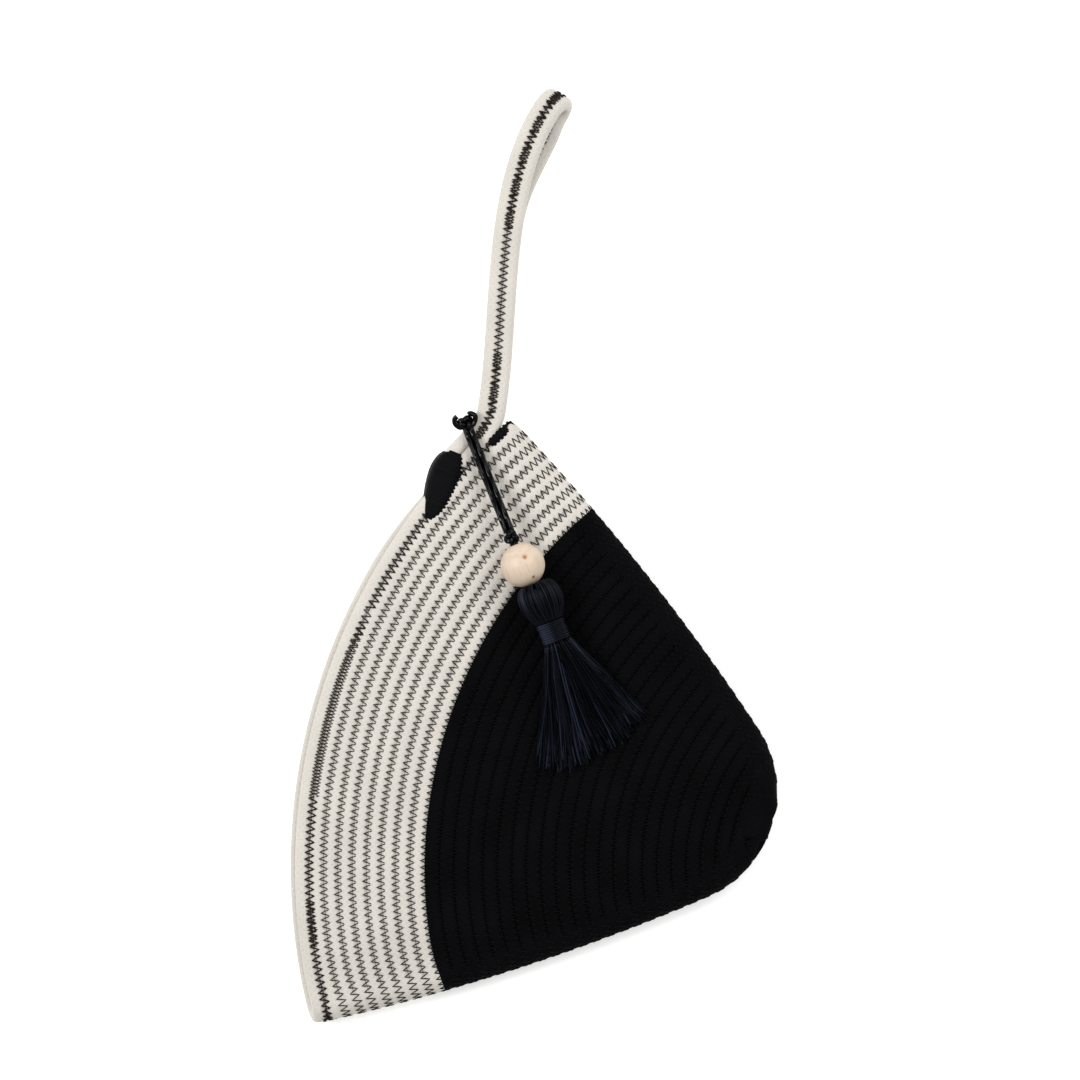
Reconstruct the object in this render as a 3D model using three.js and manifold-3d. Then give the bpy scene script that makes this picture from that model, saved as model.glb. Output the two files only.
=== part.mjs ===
// Coiled-rope wristlet clutch, lying on its back. Millimetres, +Z up.
// The wall is one flattened cone of rope rows: every row lies on an arc about the cone's apex, runs round
// the two folds and comes back underneath. Plan positions are measured from that apex until the end.
import * as THREE from 'three';
import Module from 'manifold-3d';
import { mergeVertices } from 'three/addons/utils/BufferGeometryUtils.js';

const wasm = await Module();
wasm.setup();

// Rope and rows
const ROPE = 6.0;
const ROW_PITCH = 6.2;
const BLACK_ROWS = 23;
const WHITE_ROWS = 8;
const COLOUR_CHANGE_RADIUS = 203.3;
const GROOVE_DEPTH = 1.5;
const CREST_SHARE = 0.46;

// Plan outline of the folded bag: two long fold arcs joined by one corner arc
const CORNER_RADIUS = 49.3;
const CORNER_CENTRE = new THREE.Vector2(-100.7, 32.8);
const FOLD_ARC_RADIUS = 950;
const TOP_FOLD_ANGLE = THREE.MathUtils.degToRad(33.4);
const BOTTOM_FOLD_ANGLE = THREE.MathUtils.degToRad(-66.7);
const MIDDLE_ANGLE = THREE.MathUtils.degToRad(162.9);

// Thickness of the bag
const FOLD_RADIUS = 5.5;
const CROWN = 6.0;
const MOUTH_CROWN = 3.2;
const CROWN_RUN = 35;
const MOUTH_TAPER = 52;
const BACK_REACH = 2.8;
const BACK_REACH_FADE = THREE.MathUtils.degToRad(14);
const CLEARANCE = 0.3;
const ROOT_CLEARANCE = 0.5;

// Wrist strap: two strands side by side
const STRAND = 5.6;
const STRAP_LEAVES = THREE.MathUtils.degToRad(135.6);
const TAIL_STARTS = THREE.MathUtils.degToRad(139.2);
const STRAP_ROOT_ANGLE = THREE.MathUtils.degToRad(131.43);
const STRAP_ROOT_RISE = 4.8;
const STRAP_ROOT_HEADING = THREE.MathUtils.degToRad(81);
const STRAP_REACH = 131.6;
const STRAP_DIRECTION = THREE.MathUtils.degToRad(79.5);
const STRAP_TIP_HEADING = THREE.MathUtils.degToRad(57);
const STRAP_SLACK = 42;
const RETURN_SIDESTEP = 6;
const STRAP_TURN_RADIUS = 5.8;

// Satin-stitched trim
const PATCH_LENGTH = 30;
const PATCH_WIDTH = 13;
const PATCH_HEIGHT = 9.4;
const PATCH_ANGLE = THREE.MathUtils.degToRad(139.9);
const PATCH_INSET = 3.2;
const PATCH_TURN = THREE.MathUtils.degToRad(18);
const BAR_LENGTH = 12.6;
const BAR_WIDTH = 3.6;
const BAR_HEIGHT = 3.4;
const BAR_ANGLE = THREE.MathUtils.degToRad(132.3);
const SATIN_LIFT = 0.4;
const SATIN_BASE = 0.6;

// Tassel
const CORD = 1.8;
const KNOT = 6.4;
const KNOT_ANGLE = THREE.MathUtils.degToRad(134.1);
const CORD_DIRECTION = THREE.MathUtils.degToRad(-68);
const BEAD_DISTANCE = 65.6;
const LOWER_KNOT = 6.0;
const BEAD = 19;
const BEAD_BORE = 4.2;
const HEAD_DIAMETER = 19;
const HEAD_LENGTH = 17.4;
const HEAD_PROFILE_START = 0.12;
const HEAD_PROFILE_SPAN = 0.74;
const HEAD_FULLNESS = 0.8;
const NECK_DIAMETER = 12.4;
const NECK_LENGTH = 8.6;
const NECK_TURNS = 5;
const NECK_GROOVE = 0.5;
const TASSEL_DIRECTION = THREE.MathUtils.degToRad(-68);
const SKIRT_LENGTH = 52;
const SKIRT_HALF_FAN = THREE.MathUtils.degToRad(24);
const SKIRT_END_THICKNESS = 6;
const SKIRT_FLUTES = 14;
const FLUTE_SHARE = 0.12;
const SKIRT_INSET = 0.8;
const SKIRT_LIFT = 0.4;
const SKIRT_FALL = 0.8;

// Lines worked out from the sizes above
const HALF_ROPE = ROPE / 2;
const MID_HEIGHT = HALF_ROPE + FOLD_RADIUS;
const COIL_RADIUS = COLOUR_CHANGE_RADIUS + WHITE_ROWS * ROW_PITCH;
const RIM_RADIUS = COIL_RADIUS + CLEARANCE + HALF_ROPE;
const STRAND_OFFSET = (STRAND + CLEARANCE) / 2;
const BAND_RADIUS = RIM_RADIUS + STRAND_OFFSET;
const TAIL_RADIUS = BAND_RADIUS + STRAND_OFFSET;
const TIP_RADIUS = CORNER_CENTRE.length() - CORNER_RADIUS;
const STRAP_ROOT = polar(BAND_RADIUS + STRAP_ROOT_RISE, STRAP_ROOT_ANGLE);

function polar(radius, angle) {
  return new THREE.Vector2(radius * Math.cos(angle), radius * Math.sin(angle));
}

function heading(angle) {
  return new THREE.Vector2(Math.cos(angle), Math.sin(angle));
}

function smooth(value) {
  const t = THREE.MathUtils.clamp(value, 0, 1);
  return t * t * (3 - 2 * t);
}

// Distance in plan from the fold line of the wall's middle surface, and the way in from it
function foldDistance(point) {
  const corner = CORNER_RADIUS - HALF_ROPE;
  const edge = FOLD_ARC_RADIUS - HALF_ROPE;
  const fromCorner = point.clone().sub(CORNER_CENTRE);
  const angle = fromCorner.angle();
  const turned = angle > Math.PI ? angle - 2 * Math.PI : angle;
  if (turned < TOP_FOLD_ANGLE && turned > BOTTOM_FOLD_ANGLE) {
    return { distance: corner - fromCorner.length(), inward: fromCorner.normalize().negate() };
  }
  const sides = [TOP_FOLD_ANGLE, BOTTOM_FOLD_ANGLE].map((side) => {
    const centre = CORNER_CENTRE.clone().addScaledVector(heading(side), corner - edge);
    const out = point.clone().sub(centre);
    return { distance: edge - out.length(), inward: out.normalize().negate() };
  });
  return sides[0].distance < sides[1].distance ? sides[0] : sides[1];
}

// Angle at which the row of this radius reaches a fold; side is -1 for the top fold, 1 for the bottom one
const PAST_THE_FOLD = 1.2;

function foldAngle(radius, side) {
  let inside = MIDDLE_ANGLE;
  let outside = MIDDLE_ANGLE + side * PAST_THE_FOLD;
  for (let step = 0; step < 40; step += 1) {
    const middle = (inside + outside) / 2;
    if (foldDistance(polar(radius, middle)).distance > 0) inside = middle;
    else outside = middle;
  }
  return inside;
}

// A point of the wall: face is 1 on the front, -1 on the back; offset is measured outward from mid-wall.
// The back reaches past the front along the mouth, and is level with it where the strap leaves
function wallPoint(radius, angle, face, offset) {
  const { distance, inward } = foldDistance(polar(radius, angle));
  const lean = THREE.MathUtils.clamp(1 - distance / FOLD_RADIUS, 0, 1);
  const rise = Math.sqrt(1 - lean * lean);
  const fromStrap = smooth((angle - STRAP_LEAVES) / BACK_REACH_FADE);
  const reach = BACK_REACH * fromStrap * (radius - TIP_RADIUS) / (COIL_RADIUS - TIP_RADIUS);
  const plan = polar(radius + reach * (1 - face * rise) / 2, angle);
  plan.addScaledVector(inward, -offset * lean);
  const toMouth = smooth((radius - COIL_RADIUS + MOUTH_TAPER) / MOUTH_TAPER);
  const crown = THREE.MathUtils.lerp(CROWN, MOUTH_CROWN, toMouth) * smooth(distance / CROWN_RUN);
  const height = MID_HEIGHT + face * (FOLD_RADIUS + offset) * rise + (face > 0 ? crown : 0);
  return new THREE.Vector3(plan.x, plan.y, height);
}

// Angles across one face of a row, from the bottom fold to the top one, closest together at the folds
const FOLD_TURNS = [0, 30, 60, 90].map((angle) => THREE.MathUtils.degToRad(angle));
const FOLD_STEPS = FOLD_TURNS.map((turn) => FOLD_RADIUS * (1 - Math.cos(turn)));
const EDGE_STEPS = [...FOLD_STEPS, CROWN_RUN / 2, CROWN_RUN];
const MIDDLE_STEPS = 4;
const SHORT_ROW = 1.4 * CROWN_RUN;

function rowAngles(radius) {
  const bottom = foldAngle(radius, 1);
  const top = foldAngle(radius, -1);
  const half = radius * (bottom - top) / 2;
  const squeeze = Math.min(1, half / SHORT_ROW) / radius;
  const low = EDGE_STEPS.map((step) => bottom - step * squeeze);
  const high = EDGE_STEPS.map((step) => top + step * squeeze).reverse();
  const from = low[low.length - 1];
  const to = high[0];
  const gap = (to - from) / (MIDDLE_STEPS + 1);
  const middle = Array.from({ length: MIDDLE_STEPS }, (_, i) => from + gap * (i + 1));
  return [...low, ...middle, ...high];
}

// One closed loop of points round the bag at this radius
function wallLoop(radius, offset) {
  const angles = rowAngles(radius);
  const front = angles.map((angle) => wallPoint(radius, angle, 1, offset));
  const back = angles.slice(1, -1).reverse().map((angle) => wallPoint(radius, angle, -1, offset));
  return [...front, ...back];
}

function solid(positions, triangles) {
  const geometry = new THREE.BufferGeometry();
  geometry.setAttribute('position', new THREE.Float32BufferAttribute(positions, 3));
  geometry.setIndex(triangles);
  geometry.computeVertexNormals();
  return geometry;
}

// Skin over a chain of loops with equal counts; a first or last point closes the chain, else it joins up
function loft(loops, first, last) {
  const count = loops[0].length;
  const points = loops.flat();
  const triangles = [];
  const bands = first ? loops.length - 1 : loops.length;
  for (let band = 0; band < bands; band += 1) {
    const next = (band + 1) % loops.length;
    for (let i = 0; i < count; i += 1) {
      const j = (i + 1) % count;
      const [a, b, c, d] = [band * count + i, band * count + j, next * count + j, next * count + i];
      triangles.push(a, b, c, a, c, d);
    }
  }
  if (first) {
    const end = (loops.length - 1) * count;
    points.push(first, last);
    for (let i = 0; i < count; i += 1) {
      const j = (i + 1) % count;
      triangles.push(points.length - 2, j, i, points.length - 1, end + i, end + j);
    }
  }
  return solid(points.flatMap((point) => point.toArray()), triangles);
}

// Outside of a stretch of rows: a groove, then the flat crest of each row
function rowLoops(from, rows) {
  const loops = [];
  for (let row = 0; row < rows; row += 1) {
    const start = from + row * ROW_PITCH;
    const centre = start + ROW_PITCH / 2;
    const crest = CREST_SHARE * ROW_PITCH / 2;
    if (row > 0) loops.push(wallLoop(start, HALF_ROPE - GROOVE_DEPTH));
    loops.push(wallLoop(centre - crest, HALF_ROPE));
    loops.push(wallLoop(centre + crest, HALF_ROPE));
  }
  return loops;
}

// Inside of the same rows, from the last back to the first
function liningLoops(from, rows) {
  const loops = [];
  for (let row = rows; row >= 0; row -= 1) {
    loops.push(wallLoop(from + row * ROW_PITCH, -HALF_ROPE));
  }
  return loops;
}

function tube(points, diameter, sides, steps) {
  const section = new THREE.Shape();
  for (let i = 0; i < sides; i += 1) {
    const angle = (i + 0.5) / sides * 2 * Math.PI;
    const corner = heading(angle).multiplyScalar(diameter / 2);
    if (i === 0) section.moveTo(corner.x, corner.y);
    else section.lineTo(corner.x, corner.y);
  }
  const extrudePath = new THREE.CatmullRomCurve3(points, false, 'centripetal');
  return new THREE.ExtrudeGeometry(section, { steps, extrudePath, bevelEnabled: false });
}

function toManifold(geometry) {
  const bare = geometry.clone();
  bare.deleteAttribute('normal');
  bare.deleteAttribute('uv');
  const merged = mergeVertices(bare, 1e-4);
  return new wasm.Manifold(new wasm.Mesh({
    numProp: 3,
    vertProperties: new Float32Array(merged.attributes.position.array),
    triVerts: new Uint32Array(merged.index.array),
  }));
}

function cut(geometry, tools) {
  let result = toManifold(geometry);
  for (const tool of tools) result = result.subtract(toManifold(tool));
  const mesh = result.getMesh();
  return solid(mesh.vertProperties, Array.from(mesh.triVerts));
}

const model = new THREE.Group();

function body(name, carrier) {
  const group = new THREE.Group();
  group.name = name;
  carrier.add(group);
  return group;
}

const bag = body('bag', model);
const wristlet = body('wristlet', bag);
const tasselKnot = body('tassel_knot', bag);
const tasselCord = body('tassel_cord', tasselKnot);
const bead = body('bead', tasselCord);
const tassel = body('tassel', tasselCord);

const BLACK_ROPE = { color: 0x0f0f13, roughness: 0.9, metalness: 0 };
const WHITE_ROPE = { color: 0xe6e2da, roughness: 0.9, metalness: 0 };
const SATIN_THREAD = { color: 0x111114, roughness: 0.6, metalness: 0 };
const WAXED_CORD = { color: 0x0c0c10, roughness: 0.45, metalness: 0 };
const PALE_WOOD = { color: 0xe3d3c1, roughness: 0.55, metalness: 0 };
const SILKY_YARN = { color: 0x14161f, roughness: 0.5, metalness: 0 };

function piece(group, name, geometry, finish) {
  const mesh = new THREE.Mesh(geometry, new THREE.MeshStandardMaterial(finish));
  mesh.name = name;
  group.add(mesh);
  return mesh;
}

// Wall of the bag

function blackCoil() {
  const end = COLOUR_CHANGE_RADIUS - CLEARANCE / 2;
  const start = end - BLACK_ROWS * ROW_PITCH;
  const outside = rowLoops(start, BLACK_ROWS);
  outside.push(wallLoop(end, HALF_ROPE - GROOVE_DEPTH));
  const lining = liningLoops(start + 2 * ROW_PITCH, BLACK_ROWS - 2);
  const direction = CORNER_CENTRE.clone().normalize();
  const outerTip = direction.clone().multiplyScalar(TIP_RADIUS);
  const innerTip = direction.clone().multiplyScalar(start + 2 * ROW_PITCH - HALF_ROPE / 2);
  const first = new THREE.Vector3(outerTip.x, outerTip.y, MID_HEIGHT);
  const last = new THREE.Vector3(innerTip.x, innerTip.y, MID_HEIGHT);
  return loft([...outside, ...lining], first, last);
}

function whiteCoil() {
  const start = COLOUR_CHANGE_RADIUS + CLEARANCE / 2;
  const rows = WHITE_ROWS;
  const outside = [wallLoop(start, HALF_ROPE - GROOVE_DEPTH)];
  outside.push(...rowLoops(start, rows));
  outside.push(wallLoop(COIL_RADIUS, HALF_ROPE - GROOVE_DEPTH));
  const lining = liningLoops(start, rows);
  lining[0] = wallLoop(COIL_RADIUS, -HALF_ROPE);
  return loft([...outside, ...lining]);
}

piece(bag, 'black_coil', blackCoil(), BLACK_ROPE);
piece(bag, 'white_coil', whiteCoil(), WHITE_ROPE);

// Where the band of two strands leaves the rim and turns up into the strap
const BEND_STEPS = 6;

function bandBend() {
  const start = polar(BAND_RADIUS, STRAP_LEAVES);
  const tangent = heading(STRAP_LEAVES - Math.PI / 2);
  const rootHeading = heading(STRAP_ROOT_HEADING);
  const handle = start.distanceTo(STRAP_ROOT) / 3;
  return new THREE.CubicBezierCurve(
    start,
    start.clone().addScaledVector(tangent, handle),
    STRAP_ROOT.clone().addScaledVector(rootHeading, -handle),
    STRAP_ROOT,
  );
}

const rimHeight = (face) => wallPoint(COIL_RADIUS, STRAP_LEAVES, face, 0).z;
const strapHeight = (face) => (face > 0 ? HALF_ROPE + 2 * STRAP_TURN_RADIUS : HALF_ROPE);

// Points of one strand along the bend; side is -1 for the rim rope, 1 for the tail
function bendPoints(face, side) {
  const bend = bandBend();
  return Array.from({ length: BEND_STEPS }, (_, i) => {
    const t = (i + 1) / BEND_STEPS;
    const plan = bend.getPoint(t);
    const along = bend.getTangent(t);
    const height = THREE.MathUtils.lerp(rimHeight(face), strapHeight(face), smooth(t));
    const left = new THREE.Vector2(-along.y, along.x).multiplyScalar(side * STRAND_OFFSET);
    return new THREE.Vector3(plan.x + left.x, plan.y + left.y, height);
  });
}

// A point beside the rim: the wall's middle surface at its last row, carried outward
function rimPoint(radius, angle, face) {
  const point = wallPoint(COIL_RADIUS, angle, face, 0);
  const out = heading(angle).multiplyScalar(radius - COIL_RADIUS);
  return new THREE.Vector3(point.x + out.x, point.y + out.y, point.z);
}

function rimPoints(radius, from, to, face, steps) {
  const gap = (to - from) / steps;
  return Array.from({ length: steps + 1 }, (_, i) => rimPoint(radius, from + gap * i, face));
}

// The rim's own turn round the bottom fold, from the front face to the back one
function rimFold(radius) {
  const bottom = foldAngle(COIL_RADIUS, 1);
  const angles = FOLD_STEPS.slice(0, 3).map((step) => bottom - step / COIL_RADIUS);
  const front = angles.slice(1).reverse().map((angle) => rimPoint(radius, angle, 1));
  const back = angles.map((angle) => rimPoint(radius, angle, -1));
  return [...front, ...back];
}

const RIM_STEPS = 14;
const CLEAR_OF_FOLD = 2.2 * FOLD_RADIUS;

function rimRopePath() {
  const straight = foldAngle(COIL_RADIUS, 1) - CLEAR_OF_FOLD / COIL_RADIUS;
  return [
    ...bendPoints(1, -1).reverse(),
    ...rimPoints(RIM_RADIUS, STRAP_LEAVES, straight, 1, RIM_STEPS),
    ...rimFold(RIM_RADIUS),
    ...rimPoints(RIM_RADIUS, straight, STRAP_LEAVES, -1, RIM_STEPS),
    ...bendPoints(-1, -1),
  ];
}

function tailPath(face) {
  return [...rimPoints(TAIL_RADIUS, TAIL_STARTS, STRAP_LEAVES, face, 3), ...bendPoints(face, 1)];
}

const ROPE_SIDES = 8;
const RIM_TUBE_STEPS = 64;
const TAIL_TUBE_STEPS = 9;
const STRAP_TUBE_STEPS = 50;
piece(bag, 'rim_rope', tube(rimRopePath(), STRAND, ROPE_SIDES, RIM_TUBE_STEPS), WHITE_ROPE);
piece(bag, 'strap_tail_front', tube(tailPath(1), STRAND, ROPE_SIDES, TAIL_TUBE_STEPS), WHITE_ROPE);
piece(bag, 'strap_tail_back', tube(tailPath(-1), STRAND, ROPE_SIDES, TAIL_TUBE_STEPS), WHITE_ROPE);

// Wrist strap: out along the front half, over the turn and back underneath
const STRAP_TIP = STRAP_ROOT.clone().addScaledVector(heading(STRAP_DIRECTION), STRAP_REACH);
const STRAP_STEPS = 12;
const TURN_STEPS = 6;

function strapHalf(sidestep) {
  const across = heading(STRAP_DIRECTION - Math.PI / 2).multiplyScalar(sidestep);
  return new THREE.CubicBezierCurve(
    STRAP_ROOT,
    STRAP_ROOT.clone().addScaledVector(heading(STRAP_ROOT_HEADING), STRAP_SLACK).add(across),
    STRAP_TIP.clone().addScaledVector(heading(STRAP_TIP_HEADING), -STRAP_SLACK).add(across),
    STRAP_TIP,
  );
}

function strapPath(side) {
  const points = [];
  const place = (plan, along, height) => {
    const left = new THREE.Vector2(-along.y, along.x).normalize().multiplyScalar(side * STRAND_OFFSET);
    points.push(new THREE.Vector3(plan.x + left.x, plan.y + left.y, height));
  };
  const front = strapHalf(0);
  const back = strapHalf(RETURN_SIDESTEP);
  const rootHeading = heading(STRAP_ROOT_HEADING);
  const root = STRAP_ROOT.clone().addScaledVector(rootHeading, ROOT_CLEARANCE);
  const squareOff = root.clone().addScaledVector(rootHeading, STRAND / 2);
  place(root, rootHeading, strapHeight(1));
  place(squareOff, rootHeading, strapHeight(1));
  for (let i = 1; i < STRAP_STEPS; i += 1) {
    const t = i / STRAP_STEPS;
    place(front.getPoint(t), front.getTangent(t), strapHeight(1));
  }
  const tipHeading = heading(STRAP_TIP_HEADING);
  for (let i = 0; i <= TURN_STEPS; i += 1) {
    const turn = Math.PI * i / TURN_STEPS;
    const plan = STRAP_TIP.clone().addScaledVector(tipHeading, STRAP_TURN_RADIUS * Math.sin(turn));
    place(plan, tipHeading, HALF_ROPE + STRAP_TURN_RADIUS * (1 + Math.cos(turn)));
  }
  for (let i = STRAP_STEPS - 1; i > 0; i -= 1) {
    const t = i / STRAP_STEPS;
    place(back.getPoint(t), back.getTangent(t), strapHeight(-1));
  }
  place(squareOff, rootHeading, strapHeight(-1));
  place(root, rootHeading, strapHeight(-1));
  return points;
}

piece(wristlet, 'strap_inner_rope', tube(strapPath(-1), STRAND, ROPE_SIDES, STRAP_TUBE_STEPS), WHITE_ROPE);
piece(wristlet, 'strap_outer_rope', tube(strapPath(1), STRAND, ROPE_SIDES, STRAP_TUBE_STEPS), WHITE_ROPE);

// Satin trim is a swelling of thread, hollowed to sit over the ropes that it covers
function trim(length, width, height, place, direction) {
  const swelling = new THREE.SphereGeometry(0.5, 20, 10);
  swelling.scale(length, width, height);
  swelling.rotateZ(direction);
  swelling.translate(place.x, place.y, place.z + SATIN_LIFT);
  const below = new THREE.BoxGeometry(2 * length, 2 * length, height);
  below.translate(place.x, place.y, place.z - height / 2 - SATIN_BASE);
  const wide = STRAND + 2 * CLEARANCE;
  const raisedCoil = whiteCoil().translate(0, 0, CLEARANCE);
  const out = new THREE.Vector2(place.x, place.y).setLength(CLEARANCE);
  const spreadCoil = whiteCoil().translate(out.x, out.y, 0);
  const rim = tube(rimRopePath(), wide, ROPE_SIDES * 2, RIM_TUBE_STEPS);
  const tail = tube(tailPath(1), wide, ROPE_SIDES * 2, TAIL_TUBE_STEPS);
  return cut(swelling, [below, rim, tail, raisedCoil, spreadCoil]);
}

function satinPatch() {
  const place = rimPoint(BAND_RADIUS - PATCH_INSET, PATCH_ANGLE, 1);
  return trim(PATCH_LENGTH, PATCH_WIDTH, PATCH_HEIGHT, place, PATCH_ANGLE - Math.PI / 2 + PATCH_TURN);
}

function barTack() {
  const place = rimPoint(COIL_RADIUS, BAR_ANGLE, 1);
  return trim(BAR_LENGTH, BAR_WIDTH, BAR_HEIGHT, place, BAR_ANGLE - Math.PI / 2);
}

piece(bag, 'rim_satin_patch', satinPatch(), SATIN_THREAD);
piece(bag, 'strap_bar_tack', barTack(), SATIN_THREAD);

// Tassel: knot at the tail's outer side, doubled cord, lower knot, bead and tassel on the bag's crown
const CROWN_TOP = MID_HEIGHT + FOLD_RADIUS + CROWN + HALF_ROPE;
const TASSEL_HEIGHT = CROWN_TOP + CLEARANCE + Math.max(BEAD, HEAD_DIAMETER) / 2;
const KNOT_RISE = STRAND / 2 + CLEARANCE + CORD / 2;
const KNOT_HEIGHT = rimHeight(1) + KNOT_RISE;
const KNOT_SIDESTEP = Math.sqrt((STRAND / 2 + CLEARANCE + KNOT / 2) ** 2 - KNOT_RISE ** 2);
const knotPlan = polar(TAIL_RADIUS + KNOT_SIDESTEP, KNOT_ANGLE);
const knotCentre = new THREE.Vector3(knotPlan.x, knotPlan.y, KNOT_HEIGHT);
const cordAlong = heading(CORD_DIRECTION);
const cordSide = new THREE.Vector2(-cordAlong.y, cordAlong.x);
const tasselAlong = heading(TASSEL_DIRECTION);

function alongCord(distance, sideways, height) {
  const plan = knotPlan.clone().addScaledVector(cordAlong, distance).addScaledVector(cordSide, sideways);
  return new THREE.Vector3(plan.x, plan.y, height);
}

function ball(diameter, centre) {
  const geometry = new THREE.SphereGeometry(diameter / 2, 12, 8);
  geometry.rotateZ(CORD_DIRECTION - Math.PI / 2);
  geometry.translate(centre.x, centre.y, centre.z);
  return geometry;
}

piece(tasselKnot, 'tassel_top_knot', ball(KNOT, knotCentre), WAXED_CORD);

const CORD_SIDES = 8;
const CORD_STEPS = 14;
const TAIL_STEPS = 8;

function knotTail(side) {
  const reach = KNOT / 2 + CLEARANCE;
  const at = (distance, sideways, height) => alongCord(-distance, side * sideways, KNOT_HEIGHT + height);
  return tube([
    at(0, reach, 0.4),
    at(1.2, reach + 1.6, 0.8),
    at(3.4, reach + 1.5, 1.2),
    at(4.9, reach - 0.6, 1.6),
  ], CORD, CORD_SIDES, TAIL_STEPS);
}

piece(tasselKnot, 'knot_tail_left', knotTail(-1), WAXED_CORD);
piece(tasselKnot, 'knot_tail_right', knotTail(1), WAXED_CORD);

const LOWER_KNOT_DISTANCE = BEAD_DISTANCE - BEAD / 2 - CLEARANCE - LOWER_KNOT / 2;

function cordStrand(side) {
  const sideways = side * (CORD + CLEARANCE) / 2;
  const from = KNOT / 2 + CLEARANCE;
  const to = LOWER_KNOT_DISTANCE - LOWER_KNOT / 2 - CLEARANCE;
  const at = (share, climb) => alongCord(
    THREE.MathUtils.lerp(from, to, share),
    sideways,
    THREE.MathUtils.lerp(KNOT_HEIGHT, TASSEL_HEIGHT, climb),
  );
  const rise = [at(0, 0), at(0.06, 0.03), at(0.3, 0.26), at(0.6, 0.62)];
  const level = [at(0.85, 0.94), at(0.95, 1), at(1, 1)];
  return tube([...rise, ...level], CORD, CORD_SIDES, CORD_STEPS);
}

piece(tasselCord, 'tassel_cord_left', cordStrand(-1), WAXED_CORD);
piece(tasselCord, 'tassel_cord_right', cordStrand(1), WAXED_CORD);
const lowerKnotCentre = alongCord(LOWER_KNOT_DISTANCE, 0, TASSEL_HEIGHT);
piece(tasselCord, 'tassel_lower_knot', ball(LOWER_KNOT, lowerKnotCentre), WAXED_CORD);

// Turns a shape made about +Y so that +Y runs along a direction in plan, and sets it at a place
function lay(geometry, direction, place) {
  geometry.rotateZ(direction - Math.PI / 2);
  geometry.translate(place.x, place.y, place.z);
  return geometry;
}

const beadCentre = alongCord(BEAD_DISTANCE, 0, TASSEL_HEIGHT);

function beadShape() {
  const bore = BEAD_BORE / 2;
  const start = Math.asin(bore / (BEAD / 2));
  const rows = 12;
  const profile = Array.from({ length: rows + 1 }, (_, i) => {
    const angle = Math.PI - start - (Math.PI - 2 * start) * i / rows;
    return new THREE.Vector2(BEAD / 2 * Math.sin(angle), BEAD / 2 * Math.cos(angle));
  });
  profile.push(profile[0].clone());
  return lay(new THREE.LatheGeometry(profile, 24), CORD_DIRECTION, beadCentre);
}

piece(bead, 'wooden_bead', beadShape(), PALE_WOOD);

const HANGER = BEAD_BORE - 2 * CLEARANCE;
const HANGER_START = LOWER_KNOT_DISTANCE + LOWER_KNOT / 2 + CLEARANCE;
const HANGER_END = BEAD_DISTANCE + BEAD / 2 + CLEARANCE;

// Doubled cord through the bead, ending in a round loop that the tassel's head swings on
function hangerShape() {
  const length = HANGER_END - HANGER_START;
  const rows = 5;
  const profile = [new THREE.Vector2(0, 0), new THREE.Vector2(HANGER / 2, 0)];
  for (let i = 0; i <= rows; i += 1) {
    const angle = Math.PI / 2 * i / rows;
    profile.push(new THREE.Vector2(HANGER / 2 * Math.cos(angle), length + HANGER / 2 * Math.sin(angle)));
  }
  profile[profile.length - 1].x = 0;
  return lay(new THREE.LatheGeometry(profile, 12), CORD_DIRECTION, alongCord(HANGER_START, 0, TASSEL_HEIGHT));
}

piece(tasselCord, 'tassel_hanger', hangerShape(), WAXED_CORD);

const tasselPivot = alongCord(HANGER_END, 0, TASSEL_HEIGHT);

function alongTassel(distance, height) {
  const plan = new THREE.Vector2(tasselPivot.x, tasselPivot.y).addScaledVector(tasselAlong, distance);
  return new THREE.Vector3(plan.x, plan.y, height);
}

// Head: a pear that draws in to the neck; its flat top turns about the end of the hanging loop
const HEAD_START = HANGER / 2 + CLEARANCE;

function headShape() {
  const rows = 9;
  const profile = [new THREE.Vector2(0, 0)];
  for (let i = 0; i <= rows; i += 1) {
    const t = i / rows;
    const turn = Math.PI * (HEAD_PROFILE_START + HEAD_PROFILE_SPAN * t);
    const swell = Math.pow(Math.sin(turn), HEAD_FULLNESS) * HEAD_DIAMETER / 2;
    profile.push(new THREE.Vector2(swell, t * HEAD_LENGTH));
  }
  profile.push(new THREE.Vector2(0, HEAD_LENGTH));
  return lay(new THREE.LatheGeometry(profile, 24), TASSEL_DIRECTION, alongTassel(HEAD_START, TASSEL_HEIGHT));
}

const HEAD_END = HEAD_START + HEAD_LENGTH + CLEARANCE;
piece(tassel, 'tassel_head', headShape(), SILKY_YARN);

// Binding: turns of thread round the neck
function neckShape() {
  const outer = NECK_DIAMETER / 2;
  const width = NECK_LENGTH / NECK_TURNS;
  const profile = [new THREE.Vector2(0, 0)];
  for (let i = 0; i < NECK_TURNS; i += 1) {
    profile.push(new THREE.Vector2(outer - NECK_GROOVE, width * i));
    profile.push(new THREE.Vector2(outer, width * (i + 0.3)));
    profile.push(new THREE.Vector2(outer, width * (i + 0.7)));
  }
  profile.push(new THREE.Vector2(outer - NECK_GROOVE, NECK_LENGTH));
  profile.push(new THREE.Vector2(0, NECK_LENGTH));
  return lay(new THREE.LatheGeometry(profile, 20), TASSEL_DIRECTION, alongTassel(HEAD_END, TASSEL_HEIGHT));
}

piece(tassel, 'tassel_neck_binding', neckShape(), SATIN_THREAD);

// Skirt: yarn that fans out flat on the bag from the round neck, in flutes
const SKIRT_START = HEAD_END + NECK_LENGTH + CLEARANCE;
const SKIRT_RINGS = 7;

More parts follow.
